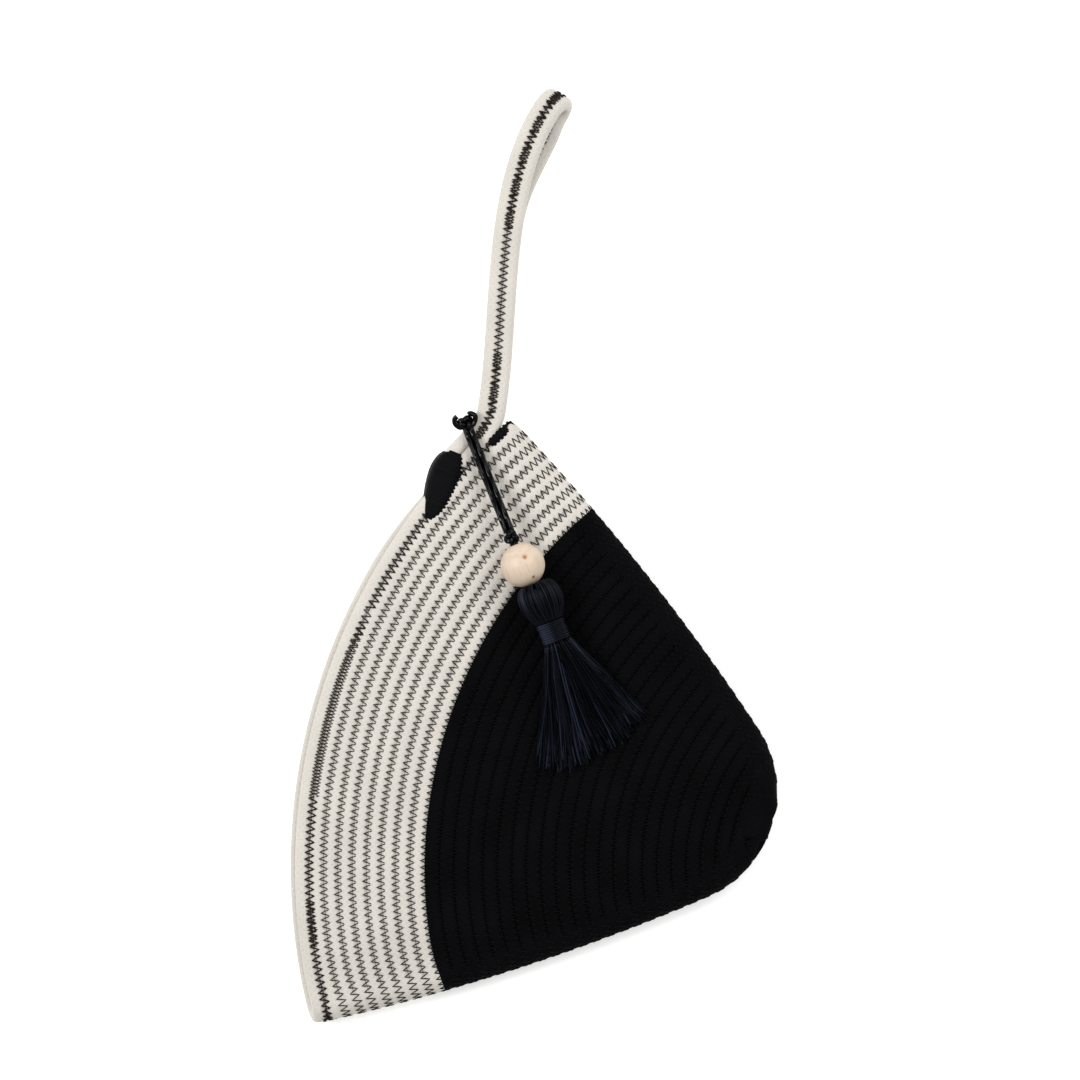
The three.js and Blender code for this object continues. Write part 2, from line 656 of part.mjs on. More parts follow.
function skirtLoop(t) {
  const start = alongTassel(SKIRT_START, TASSEL_HEIGHT);
  const root = NECK_DIAMETER / 2 - SKIRT_INSET;
  const thickness = THREE.MathUtils.lerp(root, SKIRT_END_THICKNESS / 2, smooth(t));
  const rest = CROWN_TOP + CLEARANCE + SKIRT_END_THICKNESS / 2 + SKIRT_LIFT;
  const height = THREE.MathUtils.lerp(TASSEL_HEIGHT, rest, smooth(t / SKIRT_FALL));
  const count = 2 * SKIRT_FLUTES;
  return Array.from({ length: count }, (_, i) => {
    const around = 2 * Math.PI * i / count;
    const flute = i % 2 === 0 ? 1 : 1 - FLUTE_SHARE * smooth(t * SKIRT_RINGS / 2);
    const across = Math.cos(around) * flute;
    const fan = TASSEL_DIRECTION - across * SKIRT_HALF_FAN * t;
    const ray = heading(fan).multiplyScalar(t * SKIRT_LENGTH);
    const side = heading(TASSEL_DIRECTION - Math.PI / 2).multiplyScalar(across * root);
    const rise = Math.sin(around) * flute * thickness;
    return new THREE.Vector3(start.x + ray.x + side.x, start.y + ray.y + side.y, height + rise);
  }).reverse();
}

function centre(loop) {
  const sum = new THREE.Vector3();
  for (const point of loop) sum.add(point);
  return sum.divideScalar(loop.length);
}

function skirtShape() {
  const loops = Array.from({ length: SKIRT_RINGS + 1 }, (_, i) => skirtLoop(i / SKIRT_RINGS));
  return loft(loops, centre(loops[0]), centre(loops[SKIRT_RINGS]));
}

piece(tassel, 'tassel_skirt', skirtShape(), SILKY_YARN);

// The origin is the middle of the bag and strap, on the surface that they lie on
const standing = new THREE.Box3();
for (const group of [bag, wristlet]) {
  for (const child of group.children) {
    if (child.isMesh) standing.union(new THREE.Box3().setFromObject(child));
  }
}
const middle = standing.getCenter(new THREE.Vector3());
model.position.set(-middle.x, -middle.y, -standing.min.z);

export default model;
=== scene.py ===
import functools
import math
import random
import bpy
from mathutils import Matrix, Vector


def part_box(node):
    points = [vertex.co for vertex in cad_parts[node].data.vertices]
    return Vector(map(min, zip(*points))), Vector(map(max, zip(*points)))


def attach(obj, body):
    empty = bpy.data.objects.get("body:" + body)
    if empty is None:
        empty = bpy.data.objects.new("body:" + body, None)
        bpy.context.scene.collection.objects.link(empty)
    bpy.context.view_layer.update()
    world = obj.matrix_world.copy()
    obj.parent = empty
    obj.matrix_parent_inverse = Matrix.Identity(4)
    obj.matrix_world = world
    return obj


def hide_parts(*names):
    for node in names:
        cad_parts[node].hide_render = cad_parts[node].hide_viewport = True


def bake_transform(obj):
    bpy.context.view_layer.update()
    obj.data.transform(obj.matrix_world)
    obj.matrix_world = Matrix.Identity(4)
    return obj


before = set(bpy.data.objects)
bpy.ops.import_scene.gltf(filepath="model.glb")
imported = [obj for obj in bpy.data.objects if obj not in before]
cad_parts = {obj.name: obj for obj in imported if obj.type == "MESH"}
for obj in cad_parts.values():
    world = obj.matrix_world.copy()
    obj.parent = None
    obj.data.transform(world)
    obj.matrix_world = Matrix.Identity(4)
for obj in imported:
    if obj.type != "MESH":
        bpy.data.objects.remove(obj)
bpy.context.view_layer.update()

from types import SimpleNamespace

import bpy
import numpy as np

bl_info = {
    "name": "Coiled rope clutch",
    "version": (1, 0, 0),
    "blender": (4, 5, 0),
    "location": "View3D > Sidebar > Rope clutch",
    "description": "Models a wristlet clutch of coiled, sewn rope with a bead and tassel",
    "category": "Add Mesh",
}

MM = 0.001

# The bag's own lines, in millimetres about the apex of the flattened cone that its rows lie on
APEX = np.array([156.635, -134.931])
FIRST_ROW = 60.55
BLACK_ROWS = 23
WHITE_ROWS = 8
CORNER_CENTRE = np.array([-100.7, 32.8])
CORNER_RADIUS = 49.3
FOLD_ARC_RADIUS = 950.0
TOP_FOLD_ANGLE = math.radians(33.4)
BOTTOM_FOLD_ANGLE = math.radians(-66.7)
MIDDLE_ANGLE = math.radians(162.9)
FOLD_RADIUS = 5.5
CROWN = 6.0
MOUTH_CROWN = 3.2
CROWN_RUN = 35.0
MOUTH_TAPER = 52.0
WALL = 6.0
MID_HEIGHT = WALL / 2 + FOLD_RADIUS

# A row's folds are looked for within this turn of the bag's middle line
FOLD_SEARCH = 1.2
SEARCH_STEPS = 40

# Angles at which a row has points as it turns a fold, the spacing of its points elsewhere,
# and the length over which it climbs at a fold
FOLD_TURN = np.radians(np.arange(0, 90, 11.25))
ROW_STEP = 2.4
CLIMB_RUN = 20.0
CLIMB_SHARE = 0.45

# Length over which a row on the back climbs half a pitch, and how far the back's rim reaches past the front's
BACK_FADE = 62.0
BACK_SHARE = 0.6
BACK_REACH = 2.8
BACK_REACH_FADE = math.radians(14)

# The rope's first end tucks into the bag, and its first turn is a hairpin at the other end of the corner,
# whose route is given as shares of its turn and millimetres round the edge
SEED_POINTS = 18
TUCK_TURN = 0.22
TUCK_DEPTH = 9.0
HAIRPIN_TURN = 0.22
HAIRPIN_PAST = 0.09
HAIRPIN_OPENS = 1.2
HAIRPIN_RUN = 7.0
HAIRPIN_ROUTE = ((0.75, 0.3), (0.25, 1.4), (0.1, 3.1), (0.3, 4.9), (0.75, 5.9))

# A row flattens and spreads where it turns a fold, the more the more aslant it turns
FOLD_SPREAD = 1.28
SPREAD_LIMIT = 1.75
FOLD_FLATNESS = 2.5
SQUAREST = 5.0

# Sewing draws the rows together, which flattens the rope's flanks
ROW_SQUEEZE = 1.11
ROW_SQUARENESS = 2.4

# Wrist strap, as the solids have it
STRAND = 5.6
GAP = 0.3
STRAND_OFFSET = (STRAND + GAP) / 2
STRAP_LEAVES = math.radians(135.6)
TAIL_STARTS = math.radians(139.2)
STRAP_ROOT_ANGLE = math.radians(131.43)
STRAP_ROOT_RISE = 4.8
ROOT_HEADING = math.radians(81)
STRAP_REACH = 131.6
STRAP_DIRECTION = math.radians(79.5)
TIP_HEADING = math.radians(57)
STRAP_SLACK = 42.0
TURN_RADIUS = 5.8

# The rim rope's middle lies this far outside the line that it is sewn along
RIM_OUT = (WALL + GAP) / 2

# Points along the rim, a tail, the bend at the strap's root, one half of the strap and its turn at the tip
RIM_POINTS = 120
TAIL_POINTS = 10
BEND_POINTS = 14
STRAP_POINTS = 60
TURN_POINTS = 20

# The strap's lower half lies beside the upper one near the tip, and slips under it further down
RETURN_AT_TIP = 3.4
RETURN_WIDEST = 4.4
RETURN_WIDEST_AT = 12.0
RETURN_HIDES_AT = 52.0

# A length on either side of the strap's root, where its ropes slip inside the band's,
# at this share of their thickness
ROOT_BEND = 12.0
ROOT_SLIP = 0.93

# The tails' cut ends are rounded off, as shares of their thickness
TAIL_END = (0.3, 0.72, 0.9, 0.98)

# Sides of the tubes that ropes, cords, yarns and threads are made of
ROPE_SIDES = 16
CORD_SIDES = 10
YARN_SIDES = 6
THREAD_SIDES = 5

# Height of the thread's middle over the rope, in the groove, on the row's shoulder and at the bite:
# on the wall, and at a fold, where the rope is pressed flat
THREAD_LIFT = (0.3, 0.37, -0.17)
FOLD_LIFT = (0.06, 0.08, -0.08)

# Tones of the threads: of one pass in bold, of each of two passes, and of the strap's second pass
BOLD_TONE = 0.1
TWICE_TONE = 0.2
SECOND_TONE = 0.3

# Points to one whole zigzag, and how unevenly wide the hand-guided stitches come out, in two slow beats
STITCH_POINTS = 8
UNEVEN_WIDTH = 0.14
UNEVEN_BEATS = (0.61, 0.173)

# The black seam starts this many points past the hairpin
SEAM_SKIP = 9

# Stretches of the rim's seam, counted in its points from the strap: sewn in bold, sewn twice,
# sewn in bold again, and tacked over with short stitches near the fold
RIM_SEAM_STARTS = STRAP_LEAVES - 0.03
RIM_BOLD = 42
RIM_TWICE = 81
RIM_TACK = slice(101, 111)
TACK_STITCH = 0.57
BOLD = 1.4
WIDE_BITE = 1.1

# The second pass along the rim falls half a stitch behind over this length
RIM_DRIFT = 30.0

# Stretches of the strap's seam, in points, with a second pass of shorter stitches, and its thicker thread
STRAP_TWICE = (slice(0, 12), slice(34, -34), slice(-12, None))
SECOND_STITCH = 0.83
STRAP_BOLD = 1.2

# Satin stitching, in millimetres: an oval that wraps the rim, and a bar between strap and bag.
# Fullness is the outline's power at either end, and bulge and ragged are shares of its half width.
PATCH_ANGLE = math.radians(139.9)
PATCH_INSET = 3.2
PATCH_TURN = math.radians(18)
BAR_ANGLE = math.radians(132.3)
OVAL = SimpleNamespace(length=30.5, width=12.4, rise=1.6, inner_drop=1.6, outer_drop=4.2,
                       fullness=(2.2, 3.0), bulge=0.3, ragged=0.07, stitches=66)
BAR = SimpleNamespace(length=13.2, width=4.0, rise=1.2, inner_drop=0.4, outer_drop=0.4,
                      fullness=(9.0, 9.0), bulge=0.0, ragged=0.15, stitches=26)
SATIN_THREAD = (0.78, 0.6)
SATIN_SINK = 0.4
SATIN_POINTS = 13
SATIN_TONES = (0.2, 0.9)
SATIN_UNEVEN = 0.1
TOOTH_SIZES = (0.5, 1.2)

# Powers of the padding's roundness and of the dip at its edges, and the stretch in which the bulge swells
PADDING_POWER = 2.6
DIP_POWER = 6
BULGE_FROM = -0.7
BULGE_RUN = 1.2

# The tassel's cord: its knots, drawn tighter than the cord, and each strand's climb by its share of the way
CORD_DIRECTION = math.radians(-68)
TOP_KNOT = 7.6
LOWER_KNOT = 7.2
KNOT_TURNS = (0.4, 1.1)
KNOT_POINTS = 73
KNOT_HEIGHT = 1.5
KNOT_DRAWN = 0.95
KNOT_COVERS = 2.0
CORD_CLIMB = ((0.02, 0.0), (0.08, 0.03), (0.3, 0.26), (0.6, 0.62), (0.85, 0.94), (0.94, 1.0), (0.99, 1.0))

# The top knot clears the strap's tail as it swings
KNOT_LIFT = np.array([0.0, 0.0, 0.35])

# The curled tails of the top knot: along the cord, across it and over the knot's middle, in millimetres
TAIL_ROUTES = (
    ((0.4, -1.2, 0.3), (0.9, -2.8, 0.5), (-1.2, -4.2, 0.8), (-3.3, -3.7, 1.1), (-4.0, -2.3, 1.3)),
    ((1.0, 0.9, 0.3), (2.0, 2.2, 0.5), (0.7, 4.0, 0.8), (-1.4, 4.9, 1.1), (-3.0, 3.5, 1.4), (-2.9, 2.3, 1.5)),
)

# The cord is squeezed where it passes the bead's bore, and ends inside the tassel's head
BORE_CORD = 1.8
BORE_OFFSET = 0.92
BORE_POINTS = 24
CORD_END = 77.8

# Where the tassel hangs, along the cord from its knot and to its side: it lies a little beside the bead
TASSEL_DIRECTION = math.radians(-68)
TASSEL_TOP = (75.95, 1.6)

# The tassel's head: distance along the tassel and radius, from the cord, round the bead's foot, to the neck
HEAD_PROFILE = ((0.6, 1.3), (-0.3, 3.0), (-1.0, 4.7), (-0.8, 6.2), (0.6, 7.8), (3.0, 9.0),
                (6.4, 9.3), (10.2, 8.7), (13.6, 7.2), (17.2, 5.4))
HEAD_YARN = (0.78, 0.66)
HEAD_CORE = 1.1
CORE_INSET = 0.45
CORE_SIDES = 32
CORE_TONE = 0.1

# How unevenly the head's strands lie: shares of their spacing, radians of swirl and millimetres of radius
HEAD_SPACING = 0.25
HEAD_SWIRL = 0.12
HEAD_ROUGHNESS = 0.12

# The head's highlight is painted most round its shoulder: distance along the tassel and reach, in millimetres
PAINTED_HIGHLIGHT_AT = 2.5
PAINTED_HIGHLIGHT_REACH = 4.0

# A stretch of the head along the tassel, whose ends are worked out but not used
HEAD_BEND = (-1.5, 8.0)

# The neck's binding, and the skirt's yarn, which hangs in locks, more of them to the side it leans to
NECK_START = 16.8
NECK_RADIUS = 6.1
NECK_LENGTH = 8.6
NECK_TURNS = 9
NECK_YARN = (1.1, 0.8)
NECK_SIDES = 8
NECK_TURN_POINTS = 30
NECK_UNEVEN = 0.12
# Painted highlight on the neck's windings: its strength, and the turn of the side that it falls on
NECK_PAINTED_HIGHLIGHT = 0.4
NECK_PAINTED_HIGHLIGHT_TURN = 0.8
SKIRT_LENGTH = 56.0
SKIRT_OVERLAP = 0.8
SKIRT_HALF_FAN = math.radians(24)
SKIRT_LOCKS = 34
SKIRT_LEAN = 1.35
SKIRT_ROOT = NECK_RADIUS - 0.7
SKIRT_LAYERS = 4.6
SKIRT_POINTS = 15

# How the locks differ: shorter and with less painted highlight towards one side, and each with its own
# length, curl and wave
LOCK_SHORTENS = 0.12
LOCK_HIGHLIGHT_FADES = 0.5
LOCK_LENGTHS = (0.95, 1.0)
LOCK_CURL = (-2.2, 2.2)
LOCK_WAVE = (0.3, 0.9)
LOCK_WAVE_BEATS = (5, 9)

# How the strands of a lock differ: their fan in radians, lengths, straying in millimetres and layers
STRAND_FAN = 0.03
STRAND_LENGTHS = (0.9, 1.04)
STRAND_STRAY = 1.0
STRAND_WAVE = (-0.3, 0.3)
STRAND_WAVE_BEATS = (6, 12)
STRAND_LAYERS = (0.5, 1.0)

# The skirt thins out towards its sides, and each strand towards its tip
SIDE_THINS = 0.35
TIP_THINS = 0.35

# The bead's mesh, and the rounding of its bore's mouths
BEAD_SEGMENTS = 48
BEAD_RINGS = 32
BORE_CUTS = 6
BORE_ROUNDING = 0.5
ROUNDING_SEGMENTS = 3
ROUNDED_EDGES = math.radians(50)

# The bead's pin knots: place from its middle and size in millimetres, and colour
PIN_KNOTS = (((0.9, 3.4, 8.8), 1.5, "#B98A5E"), ((4.6, -5.0, 6.6), 1.1, "#6B4A36"))
PIN_KNOT_HALO = "#E2CDB6"

# Stage, in metres and watts: name, place, turn, power and size of each light
FLOOR_SIZE = 8.0
FLOOR_DROP = 0.0008
FLOOR_GLOW = 0.5
WORLD_LIGHT = 0.46
LIGHTS = (
    ("key", (-1.05, 0.25, 1.4), (-0.17, -0.63, 0), 19.0, 0.7),
    ("fill", (0.95, 0.75, 1.3), (-0.48, 0.55, 0), 16.0, 1.2),
)
CAMERA_PLACE = (0.0028, 0.0066, 1.8)


def linear(hex_colour):
    """Turns an sRGB hex value into a linear colour."""
    channels = [int(hex_colour[i:i + 2], 16) / 255 for i in (1, 3, 5)]
    values = [c / 12.92 if c <= 0.04045 else ((c + 0.055) / 1.055) ** 2.4 for c in channels]
    return (*values, 1.0)


def length_property(name, description, millimetres):
    """A length that Blender shows in the scene's own unit."""
    return bpy.props.FloatProperty(name=name, description=description, default=millimetres * MM,
                                   min=0.0, precision=5, subtype="DISTANCE", unit="LENGTH")


def colour_property(name, description, hex_colour):
    """A colour that Blender shows with its own colour picker."""
    return bpy.props.FloatVectorProperty(name=name, description=description, default=linear(hex_colour),
                                         min=0.0, max=1.0, size=4, subtype="COLOR")


class RopeClutchSizes(bpy.types.PropertyGroup):
    """Sizes of rope, thread, cord, bead and yarn"""

    row_pitch: length_property("Row pitch", "Spacing of the sewn rows", 6.2)
    rope_height: length_property("Rope height", "Rope across the wall", 6.0)
    thread: length_property("Thread", "Diameter of the sewing thread", 0.5)
    stitch: length_property("Stitch", "Length of one whole zigzag", 2.9)
    bite: length_property("Bite", "Half width of the zigzag", 2.0)
    cord: length_property("Cord", "Diameter of one cord strand", 2.4)
    bead: length_property("Bead", "Diameter of the bead", 19.0)
    bead_bore: length_property("Bead bore", "Diameter of its hole", 4.2)
    yarn: length_property("Yarn", "Diameter of a skirt strand", 0.62)
    frame_width: length_property("Frame width", "Width of the camera's view at the bag", 466.6)


class RopeClutchCounts(bpy.types.PropertyGroup):
    """Numbers of yarn strands in the tassel"""

    head_strands: bpy.props.IntProperty(
        name="Head strands", description="Strands over the head", default=96, min=12, subtype="UNSIGNED")
    skirt_strands: bpy.props.IntProperty(
        name="Skirt strands", description="Strands in the skirt", default=460, min=34, subtype="UNSIGNED")


class RopeClutchColours(bpy.types.PropertyGroup):
    """Colours of the clutch and the floor"""

    white_rope: colour_property("White rope", "Undyed cotton", "#D5D0C8")
    black_rope: colour_property("Black rope", "Dyed cotton", "#09090B")
    thread: colour_property("Thread", "Charcoal sewing thread", "#271F17")
    black_thread: colour_property("Black thread", "Thread on black", "#0B0B0D")
    cord: colour_property("Cord", "Waxed cord", "#030306")
    yarn: colour_property("Yarn", "Silky tassel yarn", "#030408")
    # Colour of the yarn's painted highlights, which stand in for light glinting off single strands
    yarn_painted_highlight: colour_property("Yarn gleam", "Its palest strands", "#384054")
    wood: colour_property("Wood", "Pale bare wood", "#D3C0AB")
    wood_grain: colour_property("Wood grain", "Late wood lines", "#CEBAA4")
    floor: colour_property("Floor", "Pale floor", "#F3F3F2")


def sizes():
    """The sizes in millimetres, which the shapes are worked out in."""
    group = bpy.context.scene.rope_clutch_sizes
    return SimpleNamespace(**{name: getattr(group, name) / MM for name in RopeClutchSizes.__annotations__})


def counts():
    return bpy.context.scene.rope_clutch_counts


def colours():
    return bpy.context.scene.rope_clutch_colours


# Lines and surfaces, in millimetres about the apex

def smooth(value):
    """Rises softly from 0 to 1 as the value does."""
    t = np.clip(value, 0.0, 1.0)
    return t * t * (3 - 2 * t)


def heading(angle):
    return np.array([math.cos(angle), math.sin(angle)])


def headings(angles):
    return np.stack([np.cos(angles), np.sin(angles)], axis=-1)


def unit(vectors):
    return vectors / np.maximum(np.linalg.norm(vectors, axis=-1, keepdims=True), 1e-12)


def tangents(points):
    return unit(np.gradient(points, axis=0))


def up_normals(points):
    return np.tile([0.0, 0.0, 1.0], (len(points), 1))


def to_frame(points):
    """Points about the apex in millimetres, moved into the frame in metres."""
    moved = points.copy()
    moved[:, :2] += APEX
    return moved * MM


def run_length(points):
    """Distance along a line to each of its points."""
    return np.concatenate([[0], np.cumsum(np.linalg.norm(np.diff(points, axis=0), axis=1))])


def resample(points, spacing, *values):
    """A line's points, and the values that go with them, at an even spacing."""
    length = run_length(points)
    places = np.arange(0, length[-1], spacing)
    spaced = []
    for value in (points, *values):
        spaced.append(np.stack([np.interp(places, length, column) for column in value.T], axis=-1))
    return spaced


def curve_through(points, steps):
    """A smooth line through a few chosen points."""
    points = np.asarray(points, float)
    padded = np.concatenate([[2 * points[0] - points[1]], points, [2 * points[-1] - points[-2]]])
    line = []
    for i in range(len(points) - 1):
        a, b, c, d = padded[i:i + 4]
        t = np.linspace(0, 1, steps, endpoint=i == len(points) - 2)[:, None]
        line.append(0.5 * (2 * b + (c - a) * t + (2 * a - 5 * b + 4 * c - d) * t * t
                           + (3 * b - a - 3 * c + d) * t ** 3))
    return np.concatenate(line)


def bezier(a, b, c, d, t):
    """Points and headings along a curve from a to d, drawn towards b and c."""
    t = np.asarray(t)[:, None]
    place = (1 - t) ** 3 * a + 3 * (1 - t) ** 2 * t * b + 3 * (1 - t) * t * t * c + t ** 3 * d
    along = (1 - t) ** 2 * (b - a) + 2 * (1 - t) * t * (c - b) + t * t * (d - c)
    return place, along / np.linalg.norm(along, axis=1)[:, None]


def fold_distance(x, y):
    """Distance of plan points from the wall's fold line, and the way in from it."""
    corner = CORNER_RADIUS - WALL / 2
    edge = FOLD_ARC_RADIUS - WALL / 2
    dx, dy = x - CORNER_CENTRE[0], y - CORNER_CENTRE[1]
    angle = np.arctan2(dy, dx)
    away = np.hypot(dx, dy)
    at_corner = (angle < TOP_FOLD_ANGLE) & (angle > BOTTOM_FOLD_ANGLE)
    inward_x, inward_y = -dx / away, -dy / away
    best = np.full_like(x, np.inf)
    for side in (TOP_FOLD_ANGLE, BOTTOM_FOLD_ANGLE):
        centre = CORNER_CENTRE + (corner - edge) * heading(side)
        ox, oy = x - centre[0], y - centre[1]
        out = np.hypot(ox, oy)
        nearer = ~at_corner & (edge - out < best)
        best = np.where(nearer, edge - out, best)
        inward_x = np.where(nearer, -ox / out, inward_x)
        inward_y = np.where(nearer, -oy / out, inward_y)
    return np.where(at_corner, corner - away, best), inward_x, inward_y


def fold_angle(radius, side):
    """Angle at which a row meets a fold: side -1 is the top fold, 1 the bottom one."""
    inside, outside = MIDDLE_ANGLE, MIDDLE_ANGLE + side * FOLD_SEARCH
    for _ in range(SEARCH_STEPS):
        middle = (inside + outside) / 2
        point = np.array([radius * math.cos(middle)]), np.array([radius * math.sin(middle)])
        if fold_distance(*point)[0][0] > 0:
            inside = middle
        else:
            outside = middle
    return inside


def rim_radius():
    """Radius of the last row's outer edge, beside which the rim is sewn on."""
    return FIRST_ROW + (BLACK_ROWS + WHITE_ROWS) * sizes().row_pitch


def wall(radius, angle, face):
    """Points of the wall's middle surface, and the outward normals there."""
    radius, angle = np.broadcast_arrays(np.asarray(radius, float), np.asarray(angle, float))
    x, y = radius * np.cos(angle), radius * np.sin(angle)
    distance, inward_x, inward_y = fold_distance(x, y)
    lean = np.clip(1 - distance / FOLD_RADIUS, 0, 1)
    rise = np.sqrt(1 - lean * lean)
    to_mouth = smooth((radius - rim_radius() + MOUTH_TAPER) / MOUTH_TAPER)
    crown = (CROWN + (MOUTH_CROWN - CROWN) * to_mouth) * smooth(distance / CROWN_RUN)
    z = MID_HEIGHT + face * FOLD_RADIUS * rise + (crown if face > 0 else 0)
    points = np.stack([x, y, z], axis=-1)
    normals = np.stack([-inward_x * lean, -inward_y * lean, face * rise], axis=-1)
    return points, normals


def lap(base, face, climb_out=True):
    """One pass of a row over one face, from fold to fold: its line, its normals and the row's width.

    The rope runs level across the front, and climbs one pitch across the back and round the bottom fold.
    Where it turns a fold aslant it spreads, so that the rows stay shut.
    """
    pitch = sizes().row_pitch
    # The bottom fold falls half way through a climb of half a pitch
    if face > 0:
        start, end = fold_angle(base - pitch / 4, 1), fold_angle(base, -1)
    else:
        start, end = fold_angle(base, -1), fold_angle(base + pitch * (0.75 if climb_out else 0.5), 1)
    length = abs(start - end) * base
    bend = FOLD_RADIUS * (1 - np.cos(FOLD_TURN)) * min(1.0, length / (4 * FOLD_RADIUS))
    margin = bend[-1] + ROW_STEP / 2
    inner = np.linspace(margin, length - margin, max(4, int(length / ROW_STEP)))
    along = np.concatenate([bend, inner, length - bend[::-1]])
    angle = start + (end - start) * along / length
    run = min(CLIMB_RUN, CLIMB_SHARE * length)
    radius = np.full_like(along, base)
    if face > 0:
        radius -= pitch / 2 * smooth((run - along) / (2 * run)) * (along < run)
    else:
        radius += pitch / 2 * smooth(along / min(BACK_FADE, BACK_SHARE * length))
        if climb_out:
            radius += pitch / 2 * smooth((run - length + along) / (2 * run)) * (length - along < run)
    points, normals = wall(radius, angle, face)
    distance, inward_x, inward_y = fold_distance(points[:, 0], points[:, 1])
    crossing = np.abs(inward_y * np.cos(angle) - inward_x * np.sin(angle))
    # The spread fades out within one and a half fold radii
    spread = np.minimum(FOLD_SPREAD / np.maximum(crossing, 0.01), SPREAD_LIMIT) - 1
    return points, normals, pitch * (1 + spread * smooth(1.5 - distance / FOLD_RADIUS))


def spiral(first, rows, tucked_end=False):
    """The unbroken line of a rope over its rows, front and back in turn."""
    parts = []
    for row in range(rows):
        base = first + row * sizes().row_pitch
        for face in (1, -1):
            one = lap(base, face, climb_out=not (tucked_end and row == rows - 1))
            parts.append([values[1 if parts else 0:] for values in one])
    return [np.concatenate(values) for values in zip(*parts)]


def corner_point(angle, reach):
    """A point and normal of the corner's round edge, reach millimetres from its middle to the front."""
    turn = reach / FOLD_RADIUS
    out = CORNER_RADIUS - WALL / 2 - FOLD_RADIUS * (1 - math.cos(turn))
    plan = CORNER_CENTRE + out * heading(angle)
    point = np.array([*plan, MID_HEIGHT + FOLD_RADIUS * math.sin(turn)])
    return point, np.array([*(math.cos(turn) * heading(angle)), math.sin(turn)])


def corner_start(first, row, row_normals):
    """The rope's start: out of the bag, along the corner's edge and round a hairpin into its first row."""
    crossing = first - sizes().row_pitch / 4
    ends = []
    for side in (-1, 1):
        plan = crossing * heading(fold_angle(crossing, side)) - CORNER_CENTRE
        ends.append(math.atan2(plan[1], plan[0]))
    hairpin = ends[1] - HAIRPIN_PAST
    angles = np.linspace(ends[0] + TUCK_TURN / 2, hairpin + HAIRPIN_OPENS * HAIRPIN_TURN, SEED_POINTS)
    out = headings(angles)
    tuck = TUCK_DEPTH * smooth((angles - ends[0] + TUCK_TURN) / TUCK_TURN)
    plan = CORNER_CENTRE + (CORNER_RADIUS - WALL / 2 - tuck)[:, None] * out
    seed = np.column_stack([plan, np.full(SEED_POINTS, MID_HEIGHT)])
    seed_normals = np.column_stack([out, np.zeros(SEED_POINTS)])
    bend = [corner_point(hairpin + share * HAIRPIN_TURN, reach) for share, reach in HAIRPIN_ROUTE]
    places = np.array([seed[-1], *(point for point, _ in bend), row[0]])
    facing = np.array([seed_normals[-1], *(normal for _, normal in bend), row_normals[0]])
    points = np.concatenate([seed[:-1], curve_through(places, 5)[:-1]])
    return points, unit(np.concatenate([seed_normals[:-1], curve_through(facing, 5)[:-1]]))


def rim_line(extra, from_angle, face):
    """The rim's line on one face, extra millimetres outside its seam, from the strap to the bottom fold."""
    radius = rim_radius() + GAP / 2
    bottom = fold_angle(radius, 1)
    steps = FOLD_RADIUS * (1 - np.cos(FOLD_TURN)) / radius
    level = np.linspace(from_angle, bottom - 2 * FOLD_RADIUS / radius, RIM_POINTS)
    angles = np.concatenate([level, (bottom - steps)[::-1]])
    points, normals = wall(np.full_like(angles, radius), angles, face)
    rise = np.abs(normals[:, 2])
    reach = BACK_REACH * smooth((angles - STRAP_LEAVES) / BACK_REACH_FADE)
    points[:, :2] += headings(angles) * (extra + reach * (1 - face * rise) / 2)[:, None]
    return points, normals


def rim_path(extra, from_angle):
    """The rim's line from the strap along the front, round the fold and back along the back."""
    front, front_normals = rim_line(extra, from_angle, 1)
    back, back_normals = rim_line(extra, from_angle, -1)
    return np.concatenate([front, back[::-1][1:]]), np.concatenate([front_normals, back_normals[::-1][1:]])


def band_radius():
    """Radius of the band that the rim and a strap's tail make side by side."""
    return rim_radius() + GAP / 2 + GAP + WALL / 2 + STRAND_OFFSET


def strap_root():
    return (band_radius() + STRAP_ROOT_RISE) * heading(STRAP_ROOT_ANGLE)


def strap_height(face):
    return WALL / 2 + (2 * TURN_RADIUS if face > 0 else 0)


def band_bend(face, side):
    """One strand where the band leaves the rim and turns up to the strap's root."""
    start = band_radius() * heading(STRAP_LEAVES)
    handle = np.linalg.norm(start - strap_root()) / 3
    t = np.linspace(0, 1, BEND_POINTS)[1:]
    place, along = bezier(start, start + handle * heading(STRAP_LEAVES - math.pi / 2),
                          strap_root() - handle * heading(ROOT_HEADING), strap_root(), t)
    rim_height = rim_line(0, STRAP_LEAVES, face)[0][0, 2]
    height = rim_height + (strap_height(face) - rim_height) * smooth(t)
    left = np.column_stack([-along[:, 1], along[:, 0]])
    points = np.column_stack([place + left * side * STRAND_OFFSET, height])
    return points, np.tile([0.0, 0.0, float(face)], (len(t), 1))


def return_shift(distance):
    """How far the strap's lower half lies beside the upper one, by its distance from the tip."""
    widening = RETURN_AT_TIP + (RETURN_WIDEST - RETURN_AT_TIP) * smooth(distance / RETURN_WIDEST_AT)
    return widening * (1 - smooth((distance - RETURN_WIDEST_AT) / (RETURN_HIDES_AT - RETURN_WIDEST_AT)))


